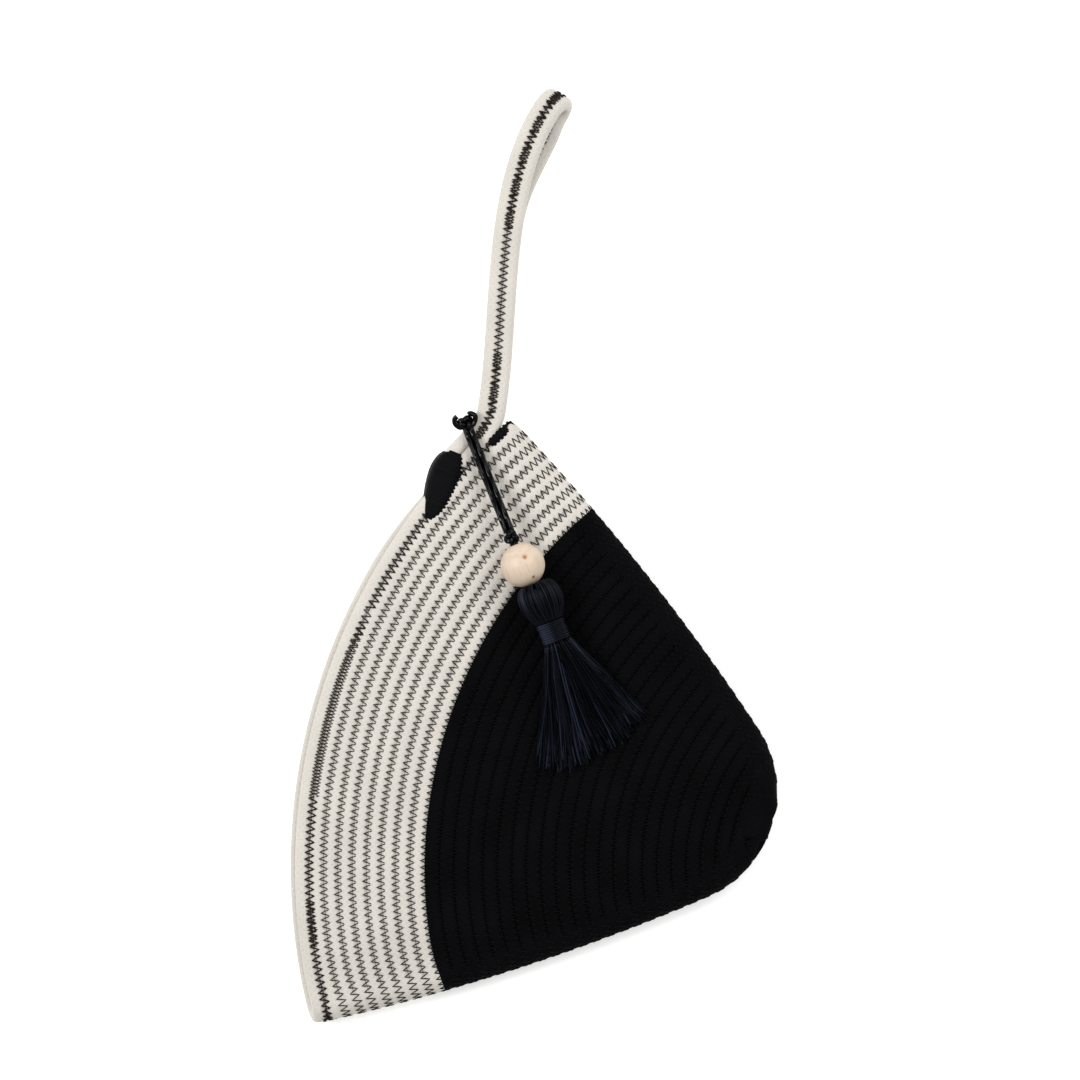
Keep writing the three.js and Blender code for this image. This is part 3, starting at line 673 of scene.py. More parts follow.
def strap_line(side):
    """A line along the strap's loop, side strands off its middle, with the loop's outward normals."""
    root = strap_root()
    tip = root + STRAP_REACH * heading(STRAP_DIRECTION)
    t = np.linspace(0, 1, STRAP_POINTS)
    upper, upper_along = bezier(root, root + STRAP_SLACK * heading(ROOT_HEADING),
                                tip - STRAP_SLACK * heading(TIP_HEADING), tip, t)
    beside = heading(STRAP_DIRECTION - math.pi / 2)
    lower = (upper + np.outer(return_shift((1 - t) * STRAP_REACH), beside))[::-1]
    turn = np.linspace(0, math.pi, TURN_POINTS)[1:-1]
    forward = heading(TIP_HEADING)
    bend = tip + np.outer(TURN_RADIUS * np.sin(turn), forward)
    bend = bend + np.outer(RETURN_AT_TIP * smooth(turn / math.pi), beside)
    place = np.concatenate([upper, bend, lower])
    along = np.concatenate([upper_along, np.tile(forward, (len(turn), 1)), upper_along[::-1]])
    height = np.concatenate([np.full(STRAP_POINTS, strap_height(1)),
                             WALL / 2 + TURN_RADIUS * (1 + np.cos(turn)),
                             np.full(STRAP_POINTS, strap_height(-1))])
    normals = np.concatenate([up_normals(upper),
                              np.column_stack([np.outer(np.sin(turn), forward), np.cos(turn)]),
                              -up_normals(lower)])
    left = np.column_stack([-along[:, 1], along[:, 0]])
    return np.column_stack([place + left * side * STRAND_OFFSET, height]), normals


# Meshes

class Strands:
    """Gathers tubes into one mesh, with UVs in millimetres along and around and a tone for each tube, which
    on the tassel's yarn is its painted highlight.
    """

    def __init__(self):
        self.points = []
        self.faces = []
        self.uvs = []
        self.tones = []
        self.count = 0

    def tube(self, points, normals, wide, tall, sides, tone=0.5, taper=None, square=2.0):
        """Adds a tube along a line, with a section that runs from an ellipse to a soft oblong."""
        skin = self.section(points, normals, wide, tall, sides, square)
        if taper is not None:
            skin = skin * taper[:, None, None]
        rows = len(points)
        first = self.count + np.arange(rows - 1)[:, None] * sides
        near = first + np.arange(sides)
        far = first + (np.arange(sides) + 1) % sides
        quads = np.stack([near, near + sides, far + sides, far], axis=-1)
        last = self.count + (rows - 1) * sides
        self.points.append((points[:, None] + skin).reshape(-1, 3))
        self.faces.extend(quads.reshape(-1, 4).tolist())
        self.faces.append(list(range(self.count, self.count + sides)))
        self.faces.append(list(range(last, last + sides))[::-1])
        girth = (float(np.median(wide)) + tall) / 2 * math.pi
        self.uvs.append(self.wrap(run_length(points), girth * np.arange(sides + 1) / sides))
        self.uvs.append(np.zeros((2 * sides, 2)))
        self.tones.append(np.repeat(np.broadcast_to(tone, rows), sides))
        self.count += rows * sides

    def section(self, points, normals, wide, tall, sides, square):
        """A tube's corners round each point of its line."""
        along = tangents(points)
        side = unit(np.cross(along, normals))
        normal = unit(np.cross(side, along))
        turn = np.arange(sides) * 2 * math.pi / sides
        power = 2 / np.broadcast_to(square, len(points))[:, None]
        widths = np.broadcast_to(wide, len(points))[:, None]
        across = widths / 2 * np.sign(np.cos(turn)) * np.abs(np.cos(turn)) ** power
        upward = tall / 2 * np.sign(np.sin(turn)) * np.abs(np.sin(turn)) ** power
        return side[:, None] * across[:, :, None] + normal[:, None] * upward[:, :, None]

    def wrap(self, length, around):
        """The UVs of a tube's quads, from the distances along it and around it."""
        u, v = np.meshgrid(length, around, indexing="ij")
        grid = np.stack([u, v], axis=-1)
        return np.stack([grid[:-1, :-1], grid[1:, :-1], grid[1:, 1:], grid[:-1, 1:]], axis=2).reshape(-1, 2)

    def make(self, name, material):
        """Turns the tubes into one smooth piece in the frame."""
        mesh = bpy.data.meshes.new(name)
        mesh.from_pydata(to_frame(np.concatenate(self.points)), [], self.faces)
        layer = mesh.uv_layers.new(name="strand")
        layer.data.foreach_set("uv", np.concatenate(self.uvs).ravel())
        tone = mesh.attributes.new("tone", "FLOAT", "POINT")
        tone.data.foreach_set("value", np.concatenate(self.tones))
        mesh.polygons.foreach_set("use_smooth", [len(face) == 4 for face in self.faces])
        mesh.update()
        mesh.materials.append(material)
        piece = bpy.data.objects.new(name, mesh)
        bpy.context.collection.objects.link(piece)
        return piece


def squareness(widths):
    """Power of a row's section: a soft oblong on the wall, pressed flat where it spreads at a fold."""
    return np.minimum(ROW_SQUARENESS * (widths / sizes().row_pitch) ** FOLD_FLATNESS, SQUAREST)


def row_surface(across, widths):
    """Height of a row over the wall's middle, across millimetres from the row's own middle."""
    power = squareness(widths)
    share = np.clip(np.abs(across) / (widths * ROW_SQUEEZE / 2), 0, 1)
    return sizes().rope_height / 2 * (1 - share ** power) ** (1 / power)


def zigzag(strands, points, normals, stitch, bite, thread, tone=0.5, drift=None, widths=None):
    """Sews a zigzag along a line, whose thread sinks into the groove there and into the rope at each bite."""
    pitch = sizes().row_pitch
    if widths is None:
        widths = np.full(len(points), pitch)
    outside = points + normals * sizes().rope_height / 2
    spacing = stitch / STITCH_POINTS
    _, line, up, spread = resample(outside, spacing, points, normals, widths[:, None])
    up = unit(up)
    side = unit(np.cross(tangents(line), up))
    step = np.arange(len(line), dtype=float)
    if drift is not None:
        step += STITCH_POINTS / 2 * smooth((step + 1) * spacing / max(drift, spacing))
    swing = np.interp(step / STITCH_POINTS % 1, [0, 0.25, 0.5, 0.75, 1], [0, 1, 0, -1, 0])
    height = row_surface(pitch / 2 - np.abs(swing) * sizes().bite, spread[:, 0])
    folded = smooth((spread[:, 0] / pitch - 1) / (FOLD_SPREAD - 1))
    for share, lift in ((1 - folded, THREAD_LIFT), (folded, FOLD_LIFT)):
        height += share * np.interp(np.abs(swing), [0.0, 0.5, 1.0], lift)
    pull = 1 + UNEVEN_WIDTH * np.sin(step * UNEVEN_BEATS[0]) * np.sin(step * UNEVEN_BEATS[1])
    path = line + side * (swing * pull * bite)[:, None] + up * height[:, None]
    strands.tube(path, up, thread, thread, THREAD_SIDES, tone)


# Materials

# Settings of a Mix node that darkens one colour by another
MULTIPLY = {"data_type": "RGBA", "blend_type": "MULTIPLY", 0: 1.0}


def shade(colour, factor):
    """A colour made lighter or darker."""
    return (colour[0] * factor, colour[1] * factor, colour[2] * factor, 1.0)


def new_material(name):
    material = bpy.data.materials.new(name)
    material.use_nodes = True
    return material, material.node_tree, material.node_tree.nodes["Principled BSDF"]


def add(tree, kind, settings=None, links=None):
    """Adds a node, sets its properties and sockets, and links sockets to it.

    A ramp's stops are its two ends and then any between them.
    """
    node = tree.nodes.new(kind)
    for key, value in (settings or {}).items():
        if key == "stops":
            for stop, (position, colour) in zip(node.color_ramp.elements, value):
                stop.position = position
                stop.color = colour
            for position, colour in value[2:]:
                node.color_ramp.elements.new(position).color = colour
        elif isinstance(key, str) and hasattr(node, key):
            setattr(node, key, value)
        else:
            node.inputs[key].default_value = value
    for key, source in (links or {}).items():
        tree.links.new(source, node.inputs[key])
    return node


def braid(tree, along, around):
    """Height of a braided cover, whose two sets of strands wind opposite ways; sizes in millimetres."""
    uv = add(tree, "ShaderNodeUVMap", {"uv_map": "strand"})
    wave = {"bands_direction": "DIAGONAL", "Scale": 0.5, "Distortion": 0.6, "Detail": 1.0}
    waves = []
    for way in (1, -1):
        scale = {"Scale": (1 / along, way / around, 1)}
        turned = add(tree, "ShaderNodeMapping", scale, {"Vector": uv.outputs[0]})
        waves.append(add(tree, "ShaderNodeTexWave", wave, {"Vector": turned.outputs[0]}))
    heights = {0: waves[0].outputs["Fac"], 1: waves[1].outputs["Fac"]}
    return add(tree, "ShaderNodeMath", {"operation": "MAXIMUM"}, heights).outputs[0]


def cotton_rope(name, colour, light, dark, relief, sheen, gloss):
    """Braided cotton rope: matt and fuzzy, with a fine diamond braid, a slightly uneven tone and painted
    shade in the braid's grooves.
    """
    material, tree, shader = new_material(name)
    # The wave repeats every 1.26 units, so one diamond of the cover is about 3.3 mm long and 3 mm wide
    height = braid(tree, 2.6, 2.36)
    uv = add(tree, "ShaderNodeUVMap", {"uv_map": "strand"})
    # Single cotton fibres are too fine to show, so they are drawn as fuzz of about half a millimetre
    fibre = add(tree, "ShaderNodeTexNoise", {"Scale": 2.2, "Detail": 4.0, "Roughness": 0.6},
                {"Vector": uv.outputs[0]})
    place = add(tree, "ShaderNodeTexCoord")
    # The yarn's tone drifts over patches of about 18 mm, or 55 to the metre
    patch = add(tree, "ShaderNodeTexNoise", {"Scale": 55.0, "Detail": 3.0},
                {"Vector": place.outputs["Object"]})
    tones = [(0.3, shade(colour, dark)), (0.7, shade(colour, light))]
    tone = add(tree, "ShaderNodeValToRGB", {"stops": tones}, {"Fac": patch.outputs["Fac"]})
    # Painted shade: the braid's low places are darkened where shade falls between its strands
    groove_shade_stops = [(0.1, (0.94, 0.935, 0.925, 1)), (0.55, (1, 1, 1, 1))]
    groove_shade = add(tree, "ShaderNodeValToRGB", {"stops": groove_shade_stops}, {"Fac": height})
    hairs = [(0.36, (0.84, 0.835, 0.825, 1)), (0.6, (1, 1, 1, 1))]
    fuzz = add(tree, "ShaderNodeValToRGB", {"stops": hairs}, {"Fac": fibre.outputs["Fac"]})
    cover = add(tree, "ShaderNodeMix", MULTIPLY, {6: tone.outputs[0], 7: groove_shade.outputs[0]})
    cover = add(tree, "ShaderNodeMix", MULTIPLY, {6: cover.outputs[2], 7: fuzz.outputs[0]})
    both = add(tree, "ShaderNodeMath", {"operation": "MULTIPLY_ADD", 1: 0.45},
               {0: fibre.outputs["Fac"], 2: height})
    bump = add(tree, "ShaderNodeBump", {"Strength": relief, "Distance": 0.35 * MM},
               {"Height": both.outputs[0]})
    tree.links.new(cover.outputs[2], shader.inputs["Base Color"])
    tree.links.new(bump.outputs[0], shader.inputs["Normal"])
    shader.inputs["Roughness"].default_value = 0.92
    shader.inputs["Specular IOR Level"].default_value = gloss
    shader.inputs["Sheen Weight"].default_value = sheen
    shader.inputs["Sheen Roughness"].default_value = 0.6
    return material


def twisted_strand(name, dark, light, lay, ply, roughness, gloss, relief):
    """Twisted thread, cord or yarn, whose plies wind round it every 1.26 lays and plies, in millimetres."""
    material, tree, shader = new_material(name)
    uv = add(tree, "ShaderNodeUVMap", {"uv_map": "strand"})
    turned = add(tree, "ShaderNodeMapping", {"Scale": (1 / lay, 1 / ply, 1)}, {"Vector": uv.outputs[0]})
    plies = add(tree, "ShaderNodeTexWave", {"bands_direction": "DIAGONAL", "Scale": 0.5, "Distortion": 0.4},
                {"Vector": turned.outputs[0]})
    # The tone picks a colour between dark and light; on the tassel's yarn it paints the highlights
    tone = add(tree, "ShaderNodeAttribute", {"attribute_name": "tone"})
    colour = add(tree, "ShaderNodeValToRGB", {"stops": [(0.0, dark), (1.0, light)]},
                 {"Fac": tone.outputs["Fac"]})
    bump = add(tree, "ShaderNodeBump", {"Strength": relief, "Distance": 0.3 * ply * MM},
               {"Height": plies.outputs["Fac"]})
    tree.links.new(colour.outputs[0], shader.inputs["Base Color"])
    tree.links.new(bump.outputs[0], shader.inputs["Normal"])
    shader.inputs["Roughness"].default_value = roughness
    shader.inputs["Specular IOR Level"].default_value = gloss
    return material


@functools.cache
def undyed_rope():
    # Bare cotton gives a warm off-white, soft at its edges, with hardly any shine
    return cotton_rope("Undyed cotton rope", colours().white_rope, 1.03, 0.95, 0.3, 0.15, 0.12)


@functools.cache
def dyed_rope():
    # Dyed cotton swallows the light: the rows read as dull black ribs
    return cotton_rope("Black cotton rope", colours().black_rope, 1.3, 0.75, 0.6, 0.0, 0.03)


@functools.cache
def charcoal_thread():
    # Spun polyester gives a dull, brownish dark line; its plies are too fine to show and are drawn coarser
    thread = colours().thread
    return twisted_strand("Charcoal polyester thread", shade(thread, 0.65), shade(thread, 1.35),
                          0.5, 0.5, 0.6, 0.2, 0.5)


@functools.cache
def black_thread():
    # The same thread in black, laid close, gives a smooth dark patch with a faint silky sheen
    thread = colours().black_thread
    return twisted_strand("Black polyester thread", shade(thread, 0.7), shade(thread, 1.3),
                          0.5, 0.5, 0.55, 0.05, 0.5)


@functools.cache
def waxed_cord():
    # Wax closes the cord's surface, so narrow bright glints run along its long twist
    cord = colours().cord
    return twisted_strand("Waxed cotton cord", shade(cord, 0.8), shade(cord, 1.2), 8.0, 2.5, 0.17, 0.14, 0.5)


@functools.cache
def tassel_yarn():
    # Rayon yarn, near-black blue, whose tone paints highlights on single strands in a paler blue grey
    yarn, painted_highlight = colours().yarn, colours().yarn_painted_highlight
    return twisted_strand("Rayon tassel yarn", yarn, painted_highlight, 0.7, 0.7, 0.28, 0.07, 0.2)


def bare_wood(centre, axis_angle):
    """Turned beech, sanded and left bare: close growth rings, short darker flecks and two small pin knots."""
    material, tree, shader = new_material("Turned beech, sanded")
    place = add(tree, "ShaderNodeTexCoord")
    turn = {"vector_type": "TEXTURE", "Location": centre, "Rotation": (0.35, 0.2, axis_angle)}
    local = add(tree, "ShaderNodeMapping", turn, {"Vector": place.outputs["Object"]})
    # Growth rings a few millimetres apart, and flecks about 11 mm long and 1 mm wide
    rings = add(tree, "ShaderNodeTexWave", {"wave_type": "RINGS", "rings_direction": "X", "Scale": 110.0,
                                            "Distortion": 3.2, "Detail": 2.0, "Detail Scale": 1.2},
                {"Vector": local.outputs[0]})
    grain = add(tree, "ShaderNodeMapping", {"Scale": (90.0, 900.0, 900.0)}, {"Vector": local.outputs[0]})
    flecks = add(tree, "ShaderNodeTexNoise", {"Scale": 1.0, "Detail": 3.0}, {"Vector": grain.outputs[0]})
    base = add(tree, "ShaderNodeValToRGB", {"stops": [(0.25, colours().wood), (0.95, colours().wood_grain)]},
               {"Fac": rings.outputs["Fac"]})
    fleck = add(tree, "ShaderNodeValToRGB", {"stops": [(0.3, (0.9, 0.85, 0.8, 1)), (0.46, (1, 1, 1, 1))]},
                {"Fac": flecks.outputs["Fac"]})
    colour = add(tree, "ShaderNodeMix", {**MULTIPLY, 0: 0.7}, {6: base.outputs[0], 7: fleck.outputs[0]})
    for offset, size, hex_colour in PIN_KNOTS:
        spot = tuple(centre[i] + offset[i] * MM for i in range(3))
        away = add(tree, "ShaderNodeVectorMath", {"operation": "DISTANCE", 1: spot},
                   {0: place.outputs["Object"]})
        fade = add(tree, "ShaderNodeMapRange", {"From Min": 0.25 * size * MM, "From Max": size * MM},
                   {"Value": away.outputs["Value"]})
        # A halo of paler wood rings each knot
        stops = [(0.0, linear(hex_colour)), (1.0, (1, 1, 1, 1)), (0.4, linear(PIN_KNOT_HALO))]
        knot = add(tree, "ShaderNodeValToRGB", {"stops": stops}, {"Fac": fade.outputs[0]})
        colour = add(tree, "ShaderNodeMix", MULTIPLY, {6: colour.outputs[2], 7: knot.outputs[0]})
    bump = add(tree, "ShaderNodeBump", {"Strength": 0.15, "Distance": 0.1 * MM},
               {"Height": flecks.outputs["Fac"]})
    tree.links.new(colour.outputs[2], shader.inputs["Base Color"])
    tree.links.new(bump.outputs[0], shader.inputs["Normal"])
    shader.inputs["Roughness"].default_value = 0.48
    return material


# Pieces of the bag

def rope_piece(name, points, normals, widths, material, slot, node):
    """One rope of the wall, along its whole line."""
    strands = Strands()
    strands.tube(points, normals, widths * ROW_SQUEEZE, sizes().rope_height, ROPE_SIDES,
                 square=squareness(widths))
    piece = strands.make(name, material)
    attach(piece, "bag")
    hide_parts(node)


def white_first():
    """Radius of the first white row."""
    return FIRST_ROW + BLACK_ROWS * sizes().row_pitch + sizes().row_pitch / 2 + GAP / 2


def make_black_coil():
    """The black rope, from its hairpin at the corner through all its rows."""
    first = FIRST_ROW + sizes().row_pitch / 2
    points, normals, widths = spiral(first, BLACK_ROWS)
    run = run_length(points)
    points, normals, widths = [values[run > HAIRPIN_RUN] for values in (points, normals, widths)]
    start, start_normals = corner_start(first, points, normals)
    points = np.concatenate([start, points])
    normals = np.concatenate([start_normals, normals])
    widths = np.concatenate([np.full(len(start), sizes().row_pitch), widths])
    rope_piece("black_rope_coil", points, normals, widths, dyed_rope(), "black_rope", "black_coil")


def make_white_coil():
    """The white rope, which carries on from the black one."""
    line = spiral(white_first(), WHITE_ROWS, tucked_end=True)
    rope_piece("white_rope_coil", *line, undyed_rope(), "white_rope", "white_coil")


def bend_at_root(piece):
    """Works out places on either side of the strap's root, and bakes the piece's place into its mesh."""
    for distance in (-ROOT_BEND, ROOT_BEND):
        place = strap_root() + APEX + distance * heading(ROOT_HEADING)
    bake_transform(piece)


def strand_tube(name, points, normals, node, taper=None):
    """One white rope of the rim or the strap."""
    strands = Strands()
    strands.tube(points, normals, STRAND * ROW_SQUEEZE, STRAND, ROPE_SIDES, taper=taper,
                 square=ROW_SQUARENESS)
    piece = strands.make(name, undyed_rope())
    bend_at_root(piece)
    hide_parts(node)


def make_rim():
    """The ninth white row, whose two ends bend off into the strap."""
    points, normals = rim_path(RIM_OUT, STRAP_LEAVES)
    front, front_normals = band_bend(1, -1)
    back, back_normals = band_bend(-1, -1)
    points = np.concatenate([front[::-1], points, back])
    normals = np.concatenate([front_normals[::-1], normals, back_normals])
    strand_tube("rim_rope_row", points, normals, "rim_rope")


def make_strap_tail(face, name, node):
    """The end of the strap's other strand, sewn beside the rim on one face."""
    angles = np.linspace(TAIL_STARTS, STRAP_LEAVES, TAIL_POINTS)
    rim, rim_normals = wall(np.full(TAIL_POINTS, band_radius() - STRAND_OFFSET - RIM_OUT), angles, face)
    rim[:, :2] += (RIM_OUT + 2 * STRAND_OFFSET) * headings(angles)
    bend, bend_normals = band_bend(face, 1)
    points = np.concatenate([rim, bend])
    normals = np.concatenate([rim_normals, bend_normals])
    taper = np.ones(len(points))
    taper[:len(TAIL_END)] = TAIL_END
    strand_tube(name, points, normals, node, taper)


def seam_piece(strands, name, material):
    """A seam of the bag's wall."""
    piece = strands.make(name, material)
    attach(piece, "bag")


def make_row_seams(name, first, rows, skip, material):
    """The zigzag between the rows of one rope, in one long line beside it."""
    size = sizes()
    strands = Strands()
    points, normals, widths = [values[skip:] for values in spiral(first, rows)]
    zigzag(strands, points, normals, size.stitch, size.bite, size.thread, widths=widths)
    seam_piece(strands, name, material)


def make_rim_seam():
    """The bold zigzag beside the rim, with its stretches sewn twice and tacked, alike on both faces."""
    size = sizes()
    strands = Strands()
    points, normals = rim_path(0.0, RIM_SEAM_STARTS)
    bold = size.thread * BOLD
    wide = size.bite * WIDE_BITE
    tack = size.stitch * TACK_STITCH
    far = slice(RIM_TWICE - 1, 1 - RIM_TWICE)
    zigzag(strands, points[far], normals[far], size.stitch, size.bite, bold, BOLD_TONE)
    near = slice(0, RIM_BOLD)
    twice = slice(RIM_BOLD - 1, RIM_TWICE)
    for line, up in ((points, normals), (points[::-1], normals[::-1])):
        zigzag(strands, line[near], up[near], size.stitch, wide, bold, BOLD_TONE)
        for drift in (None, RIM_DRIFT):
            zigzag(strands, line[twice], up[twice], size.stitch, wide, size.thread, TWICE_TONE, drift)
        zigzag(strands, line[RIM_TACK], up[RIM_TACK], tack, size.bite, size.thread, TWICE_TONE)
    seam_piece(strands, "rim_zigzag_seam", charcoal_thread())


def make_strap_rope(side, node):
    """One strand of the strap's loop, from root to root."""
    points, normals = strap_line(side)
    front, back = band_bend(1, side)[0], band_bend(-1, side)[0]
    points = np.concatenate([front[-3:-1], points, back[-3:-1][::-1]])
    normals = np.concatenate([normals[:1], normals[:1], normals, normals[-1:], normals[-1:]])
    taper = np.ones(len(points))
    taper[:2] = taper[-2:] = ROOT_SLIP
    strand_tube(f"{node}_strand", points, normals, node, taper)


def strap_seam_piece(strands, name):
    """A seam of the strap."""
    piece = strands.make(name, charcoal_thread())
    bend_at_root(piece)


def make_strap_seams():
    """The zigzag down the middle of the strap, on both its faces, and the one at its root."""
    size = sizes()
    bold = size.thread * STRAP_BOLD
    short = size.stitch * SECOND_STITCH
    strands = Strands()
    points, normals = strap_line(0)
    for up in (normals, -normals):
        zigzag(strands, points, up, size.stitch, size.bite, bold, BOLD_TONE)
        for part in STRAP_TWICE:
            zigzag(strands, points[part], up[part], short, size.bite, bold, SECOND_TONE)
    strap_seam_piece(strands, "strap_zigzag_seam")
    strands = Strands()
    for face in (1, -1):
        points, normals = band_bend(face, 0)
        for stitch in (size.stitch, short):
            zigzag(strands, points, normals, stitch, size.bite, bold, TWICE_TONE)
    strap_seam_piece(strands, "strap_root_seam")


def make_satin(name, node, place, turn, shape, rng):
    """Satin stitching: threads laid side by side across a padded shape, from edge to edge."""
    along, out = heading(turn), heading(turn + math.pi / 2)
    across = np.linspace(-1, 1, SATIN_POINTS)
    edge = np.where(across > 0, shape.outer_drop, shape.inner_drop)
    strands = Strands()
    for i in range(shape.stitches):
        s = -1 + 2 * (i + 0.5) / shape.stitches
        power = shape.fullness[1] if s > 0 else shape.fullness[0]
        outline = max(0.1, 1 - abs(s) ** power) ** (1 / power)
        tooth = shape.ragged if i // 2 % 2 else -shape.ragged
        inner = 1 + tooth * rng.uniform(*TOOTH_SIZES)
        outer = 1 + shape.bulge * smooth((s - BULGE_FROM) / BULGE_RUN) if shape.bulge else inner
        reach = across * shape.width / 2 * outline * np.where(across > 0, outer, inner)
        padding = shape.rise * outline * np.sqrt(np.clip(1 - np.abs(across) ** PADDING_POWER, 0, 1))
        height = padding - edge * np.abs(across) ** DIP_POWER
        shift = s * shape.length / 2 + rng.uniform(-SATIN_UNEVEN, SATIN_UNEVEN)
        plan = place + np.outer(reach, out) + shift * along
        radius = np.full(SATIN_POINTS, band_radius() - 2 * STRAND_OFFSET)
        ground, _ = wall(radius, np.arctan2(plan[:, 1], plan[:, 0]), 1)
        points = np.column_stack([plan, ground[:, 2] + STRAND / 2 + height - SATIN_SINK])
        strands.tube(points, up_normals(points), *SATIN_THREAD, YARN_SIDES, rng.uniform(*SATIN_TONES))
    piece = strands.make(name, black_thread())
    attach(piece, "bag")
    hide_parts(node)


def make_satin_trim():
    """The oval over the front tail's end, and the bar in the crotch between strap and bag."""
    rng = random.Random(7)
    quarter = math.pi / 2
    oval = (band_radius() - PATCH_INSET) * heading(PATCH_ANGLE)
    make_satin("rim_satin_oval", "rim_satin_patch", oval, PATCH_ANGLE - quarter + PATCH_TURN, OVAL, rng)
    bar = (band_radius() - 2 * STRAND_OFFSET) * heading(BAR_ANGLE)
    make_satin("strap_satin_bar", "strap_bar_tack", bar, BAR_ANGLE - quarter, BAR, rng)


# Tassel

def node_centre(node):
    """Middle of a solid's box, in millimetres about the apex."""
    low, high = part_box(node)
    return (np.array(low) + np.array(high)) / 2 / MM - np.array([*APEX, 0.0])


def cord_place(distance, sideways, height):
    """A point along the tassel's cord, measured from its top knot."""
    knot = node_centre("tassel_top_knot")
    along = heading(CORD_DIRECTION)
    side = np.array([-along[1], along[0]])
    plan = knot[:2] + distance * along + sideways * side
    return np.array([plan[0], plan[1], height])


def knot_distance():
    """Distance between the cord's two knots."""
    return float(np.linalg.norm(node_centre("tassel_lower_knot")[:2] - node_centre("tassel_top_knot")[:2]))


def cord_piece(strands, name, body, *nodes):
    """A piece of the waxed cord."""
    piece = strands.make(name, waxed_cord())
    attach(piece, body)
    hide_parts(*nodes)
    return piece


def overhand(centre, size, turn):
    """A pulled-tight overhand knot: one closed line that passes over and under itself three times."""
    thick = sizes().cord * KNOT_DRAWN
    t = np.linspace(0, 2 * math.pi, KNOT_POINTS)
    scale = (size - thick) / 6
    x = (np.sin(t) + 2 * np.sin(2 * t)) * scale
    y = (np.cos(t) - 2 * np.cos(2 * t)) * scale
    z = -np.sin(3 * t) * scale * KNOT_HEIGHT
    spin = np.array([[math.cos(turn), -math.sin(turn), 0], [math.sin(turn), math.cos(turn), 0], [0, 0, 1]])
    points = np.column_stack([x, y, z]) @ spin.T + centre
    strands = Strands()
    strands.tube(points, up_normals(points), thick, thick, CORD_SIDES)
    return strands


def make_knot_tails():
    """The two curled ends of the cord that stick out of the top knot."""
    top = node_centre("tassel_top_knot")[2]
    thick = sizes().cord * KNOT_DRAWN
    tails = Strands()
    for route in TAIL_ROUTES:
        line = curve_through([cord_place(along, across, top + up) for along, across, up in route], 8)
        tails.tube(line, up_normals(line), thick, thick, CORD_SIDES)
    cord_piece(tails, "cord_knot_tails", "tassel_knot", "knot_tail_left", "knot_tail_right")


def make_cord_strand(side, node):
    """One half of the doubled cord, from the top knot down to the lower one."""
    cord = sizes().cord
    top, bottom = node_centre("tassel_top_knot")[2], node_centre("tassel_lower_knot")[2]
    reach = knot_distance() - KNOT_COVERS
    sideways = side * cord / 2
    route = [cord_place(reach * share, sideways, top + (bottom - top) * climb) for share, climb in CORD_CLIMB]
    line = curve_through(route, 5)
    strands = Strands()
    strands.tube(line, up_normals(line), cord, cord, CORD_SIDES)
    piece = cord_piece(strands, f"{node}_strand", "tassel_cord", node)
    path = to_frame(line)


def make_cord():
    """The doubled cord, its knots and its tails."""
    top = overhand(node_centre("tassel_top_knot") + KNOT_LIFT, TOP_KNOT, KNOT_TURNS[0])
    cord_piece(top, "cord_top_knot", "tassel_knot", "tassel_top_knot")
    make_knot_tails()
    low = overhand(node_centre("tassel_lower_knot"), LOWER_KNOT, KNOT_TURNS[1])
    low_knot = cord_piece(low, "cord_lower_knot", "tassel_cord", "tassel_lower_knot")
    make_cord_strand(-1, "tassel_cord_left")
    make_cord_strand(1, "tassel_cord_right")


def deselect():
    """Leaves edit mode, with nothing selected."""
    if bpy.context.object and bpy.context.object.mode != "OBJECT":
        bpy.ops.object.mode_set(mode="OBJECT")
    bpy.ops.object.select_all(action="DESELECT")


def make_bead():
    """A turned ball, opened at both poles, with the bore's wall bridged through it and its mouths rounded."""
    size = sizes()
    low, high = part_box("wooden_bead")
    centre = [(low[i] + high[i]) / 2 for i in range(3)]
    deselect()
    bpy.ops.mesh.primitive_uv_sphere_add(segments=BEAD_SEGMENTS, ring_count=BEAD_RINGS,
                                         radius=size.bead / 2 * MM)
    piece = bpy.context.object
    piece.name = piece.data.name = "turned_wooden_bead"
    edge = math.sqrt(size.bead ** 2 - size.bead_bore ** 2) / 2 * MM
    bpy.ops.object.mode_set(mode="EDIT")
    for side in (1, -1):
        bpy.ops.mesh.select_all(action="SELECT")
        bpy.ops.mesh.bisect(plane_co=(0, 0, side * edge), plane_no=(0, 0, side), clear_outer=True)
    bpy.ops.mesh.select_all(action="DESELECT")
    bpy.ops.mesh.select_mode(type="EDGE")
    bpy.ops.mesh.select_non_manifold()
    bpy.ops.mesh.bridge_edge_loops(number_cuts=BORE_CUTS)
    bpy.ops.mesh.select_all(action="SELECT")
    bpy.ops.mesh.normals_make_consistent(inside=False)
    bpy.ops.object.mode_set(mode="OBJECT")
    bevel = piece.modifiers.new("Rounded mouths", "BEVEL")
    bevel.width = BORE_ROUNDING * MM
    bevel.segments = ROUNDING_SEGMENTS
    bevel.limit_method = "ANGLE"
    bevel.angle_limit = ROUNDED_EDGES
    bpy.ops.object.modifier_apply(modifier=bevel.name)
    bpy.ops.object.shade_smooth()
    piece.rotation_euler = (math.pi / 2, 0, CORD_DIRECTION + math.pi / 2)
    piece.location = centre
    bpy.ops.object.transform_apply(location=True, rotation=True, scale=True)
    piece.data.materials.append(bare_wood(centre, CORD_DIRECTION))
    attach(piece, "bead")
    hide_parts("wooden_bead")


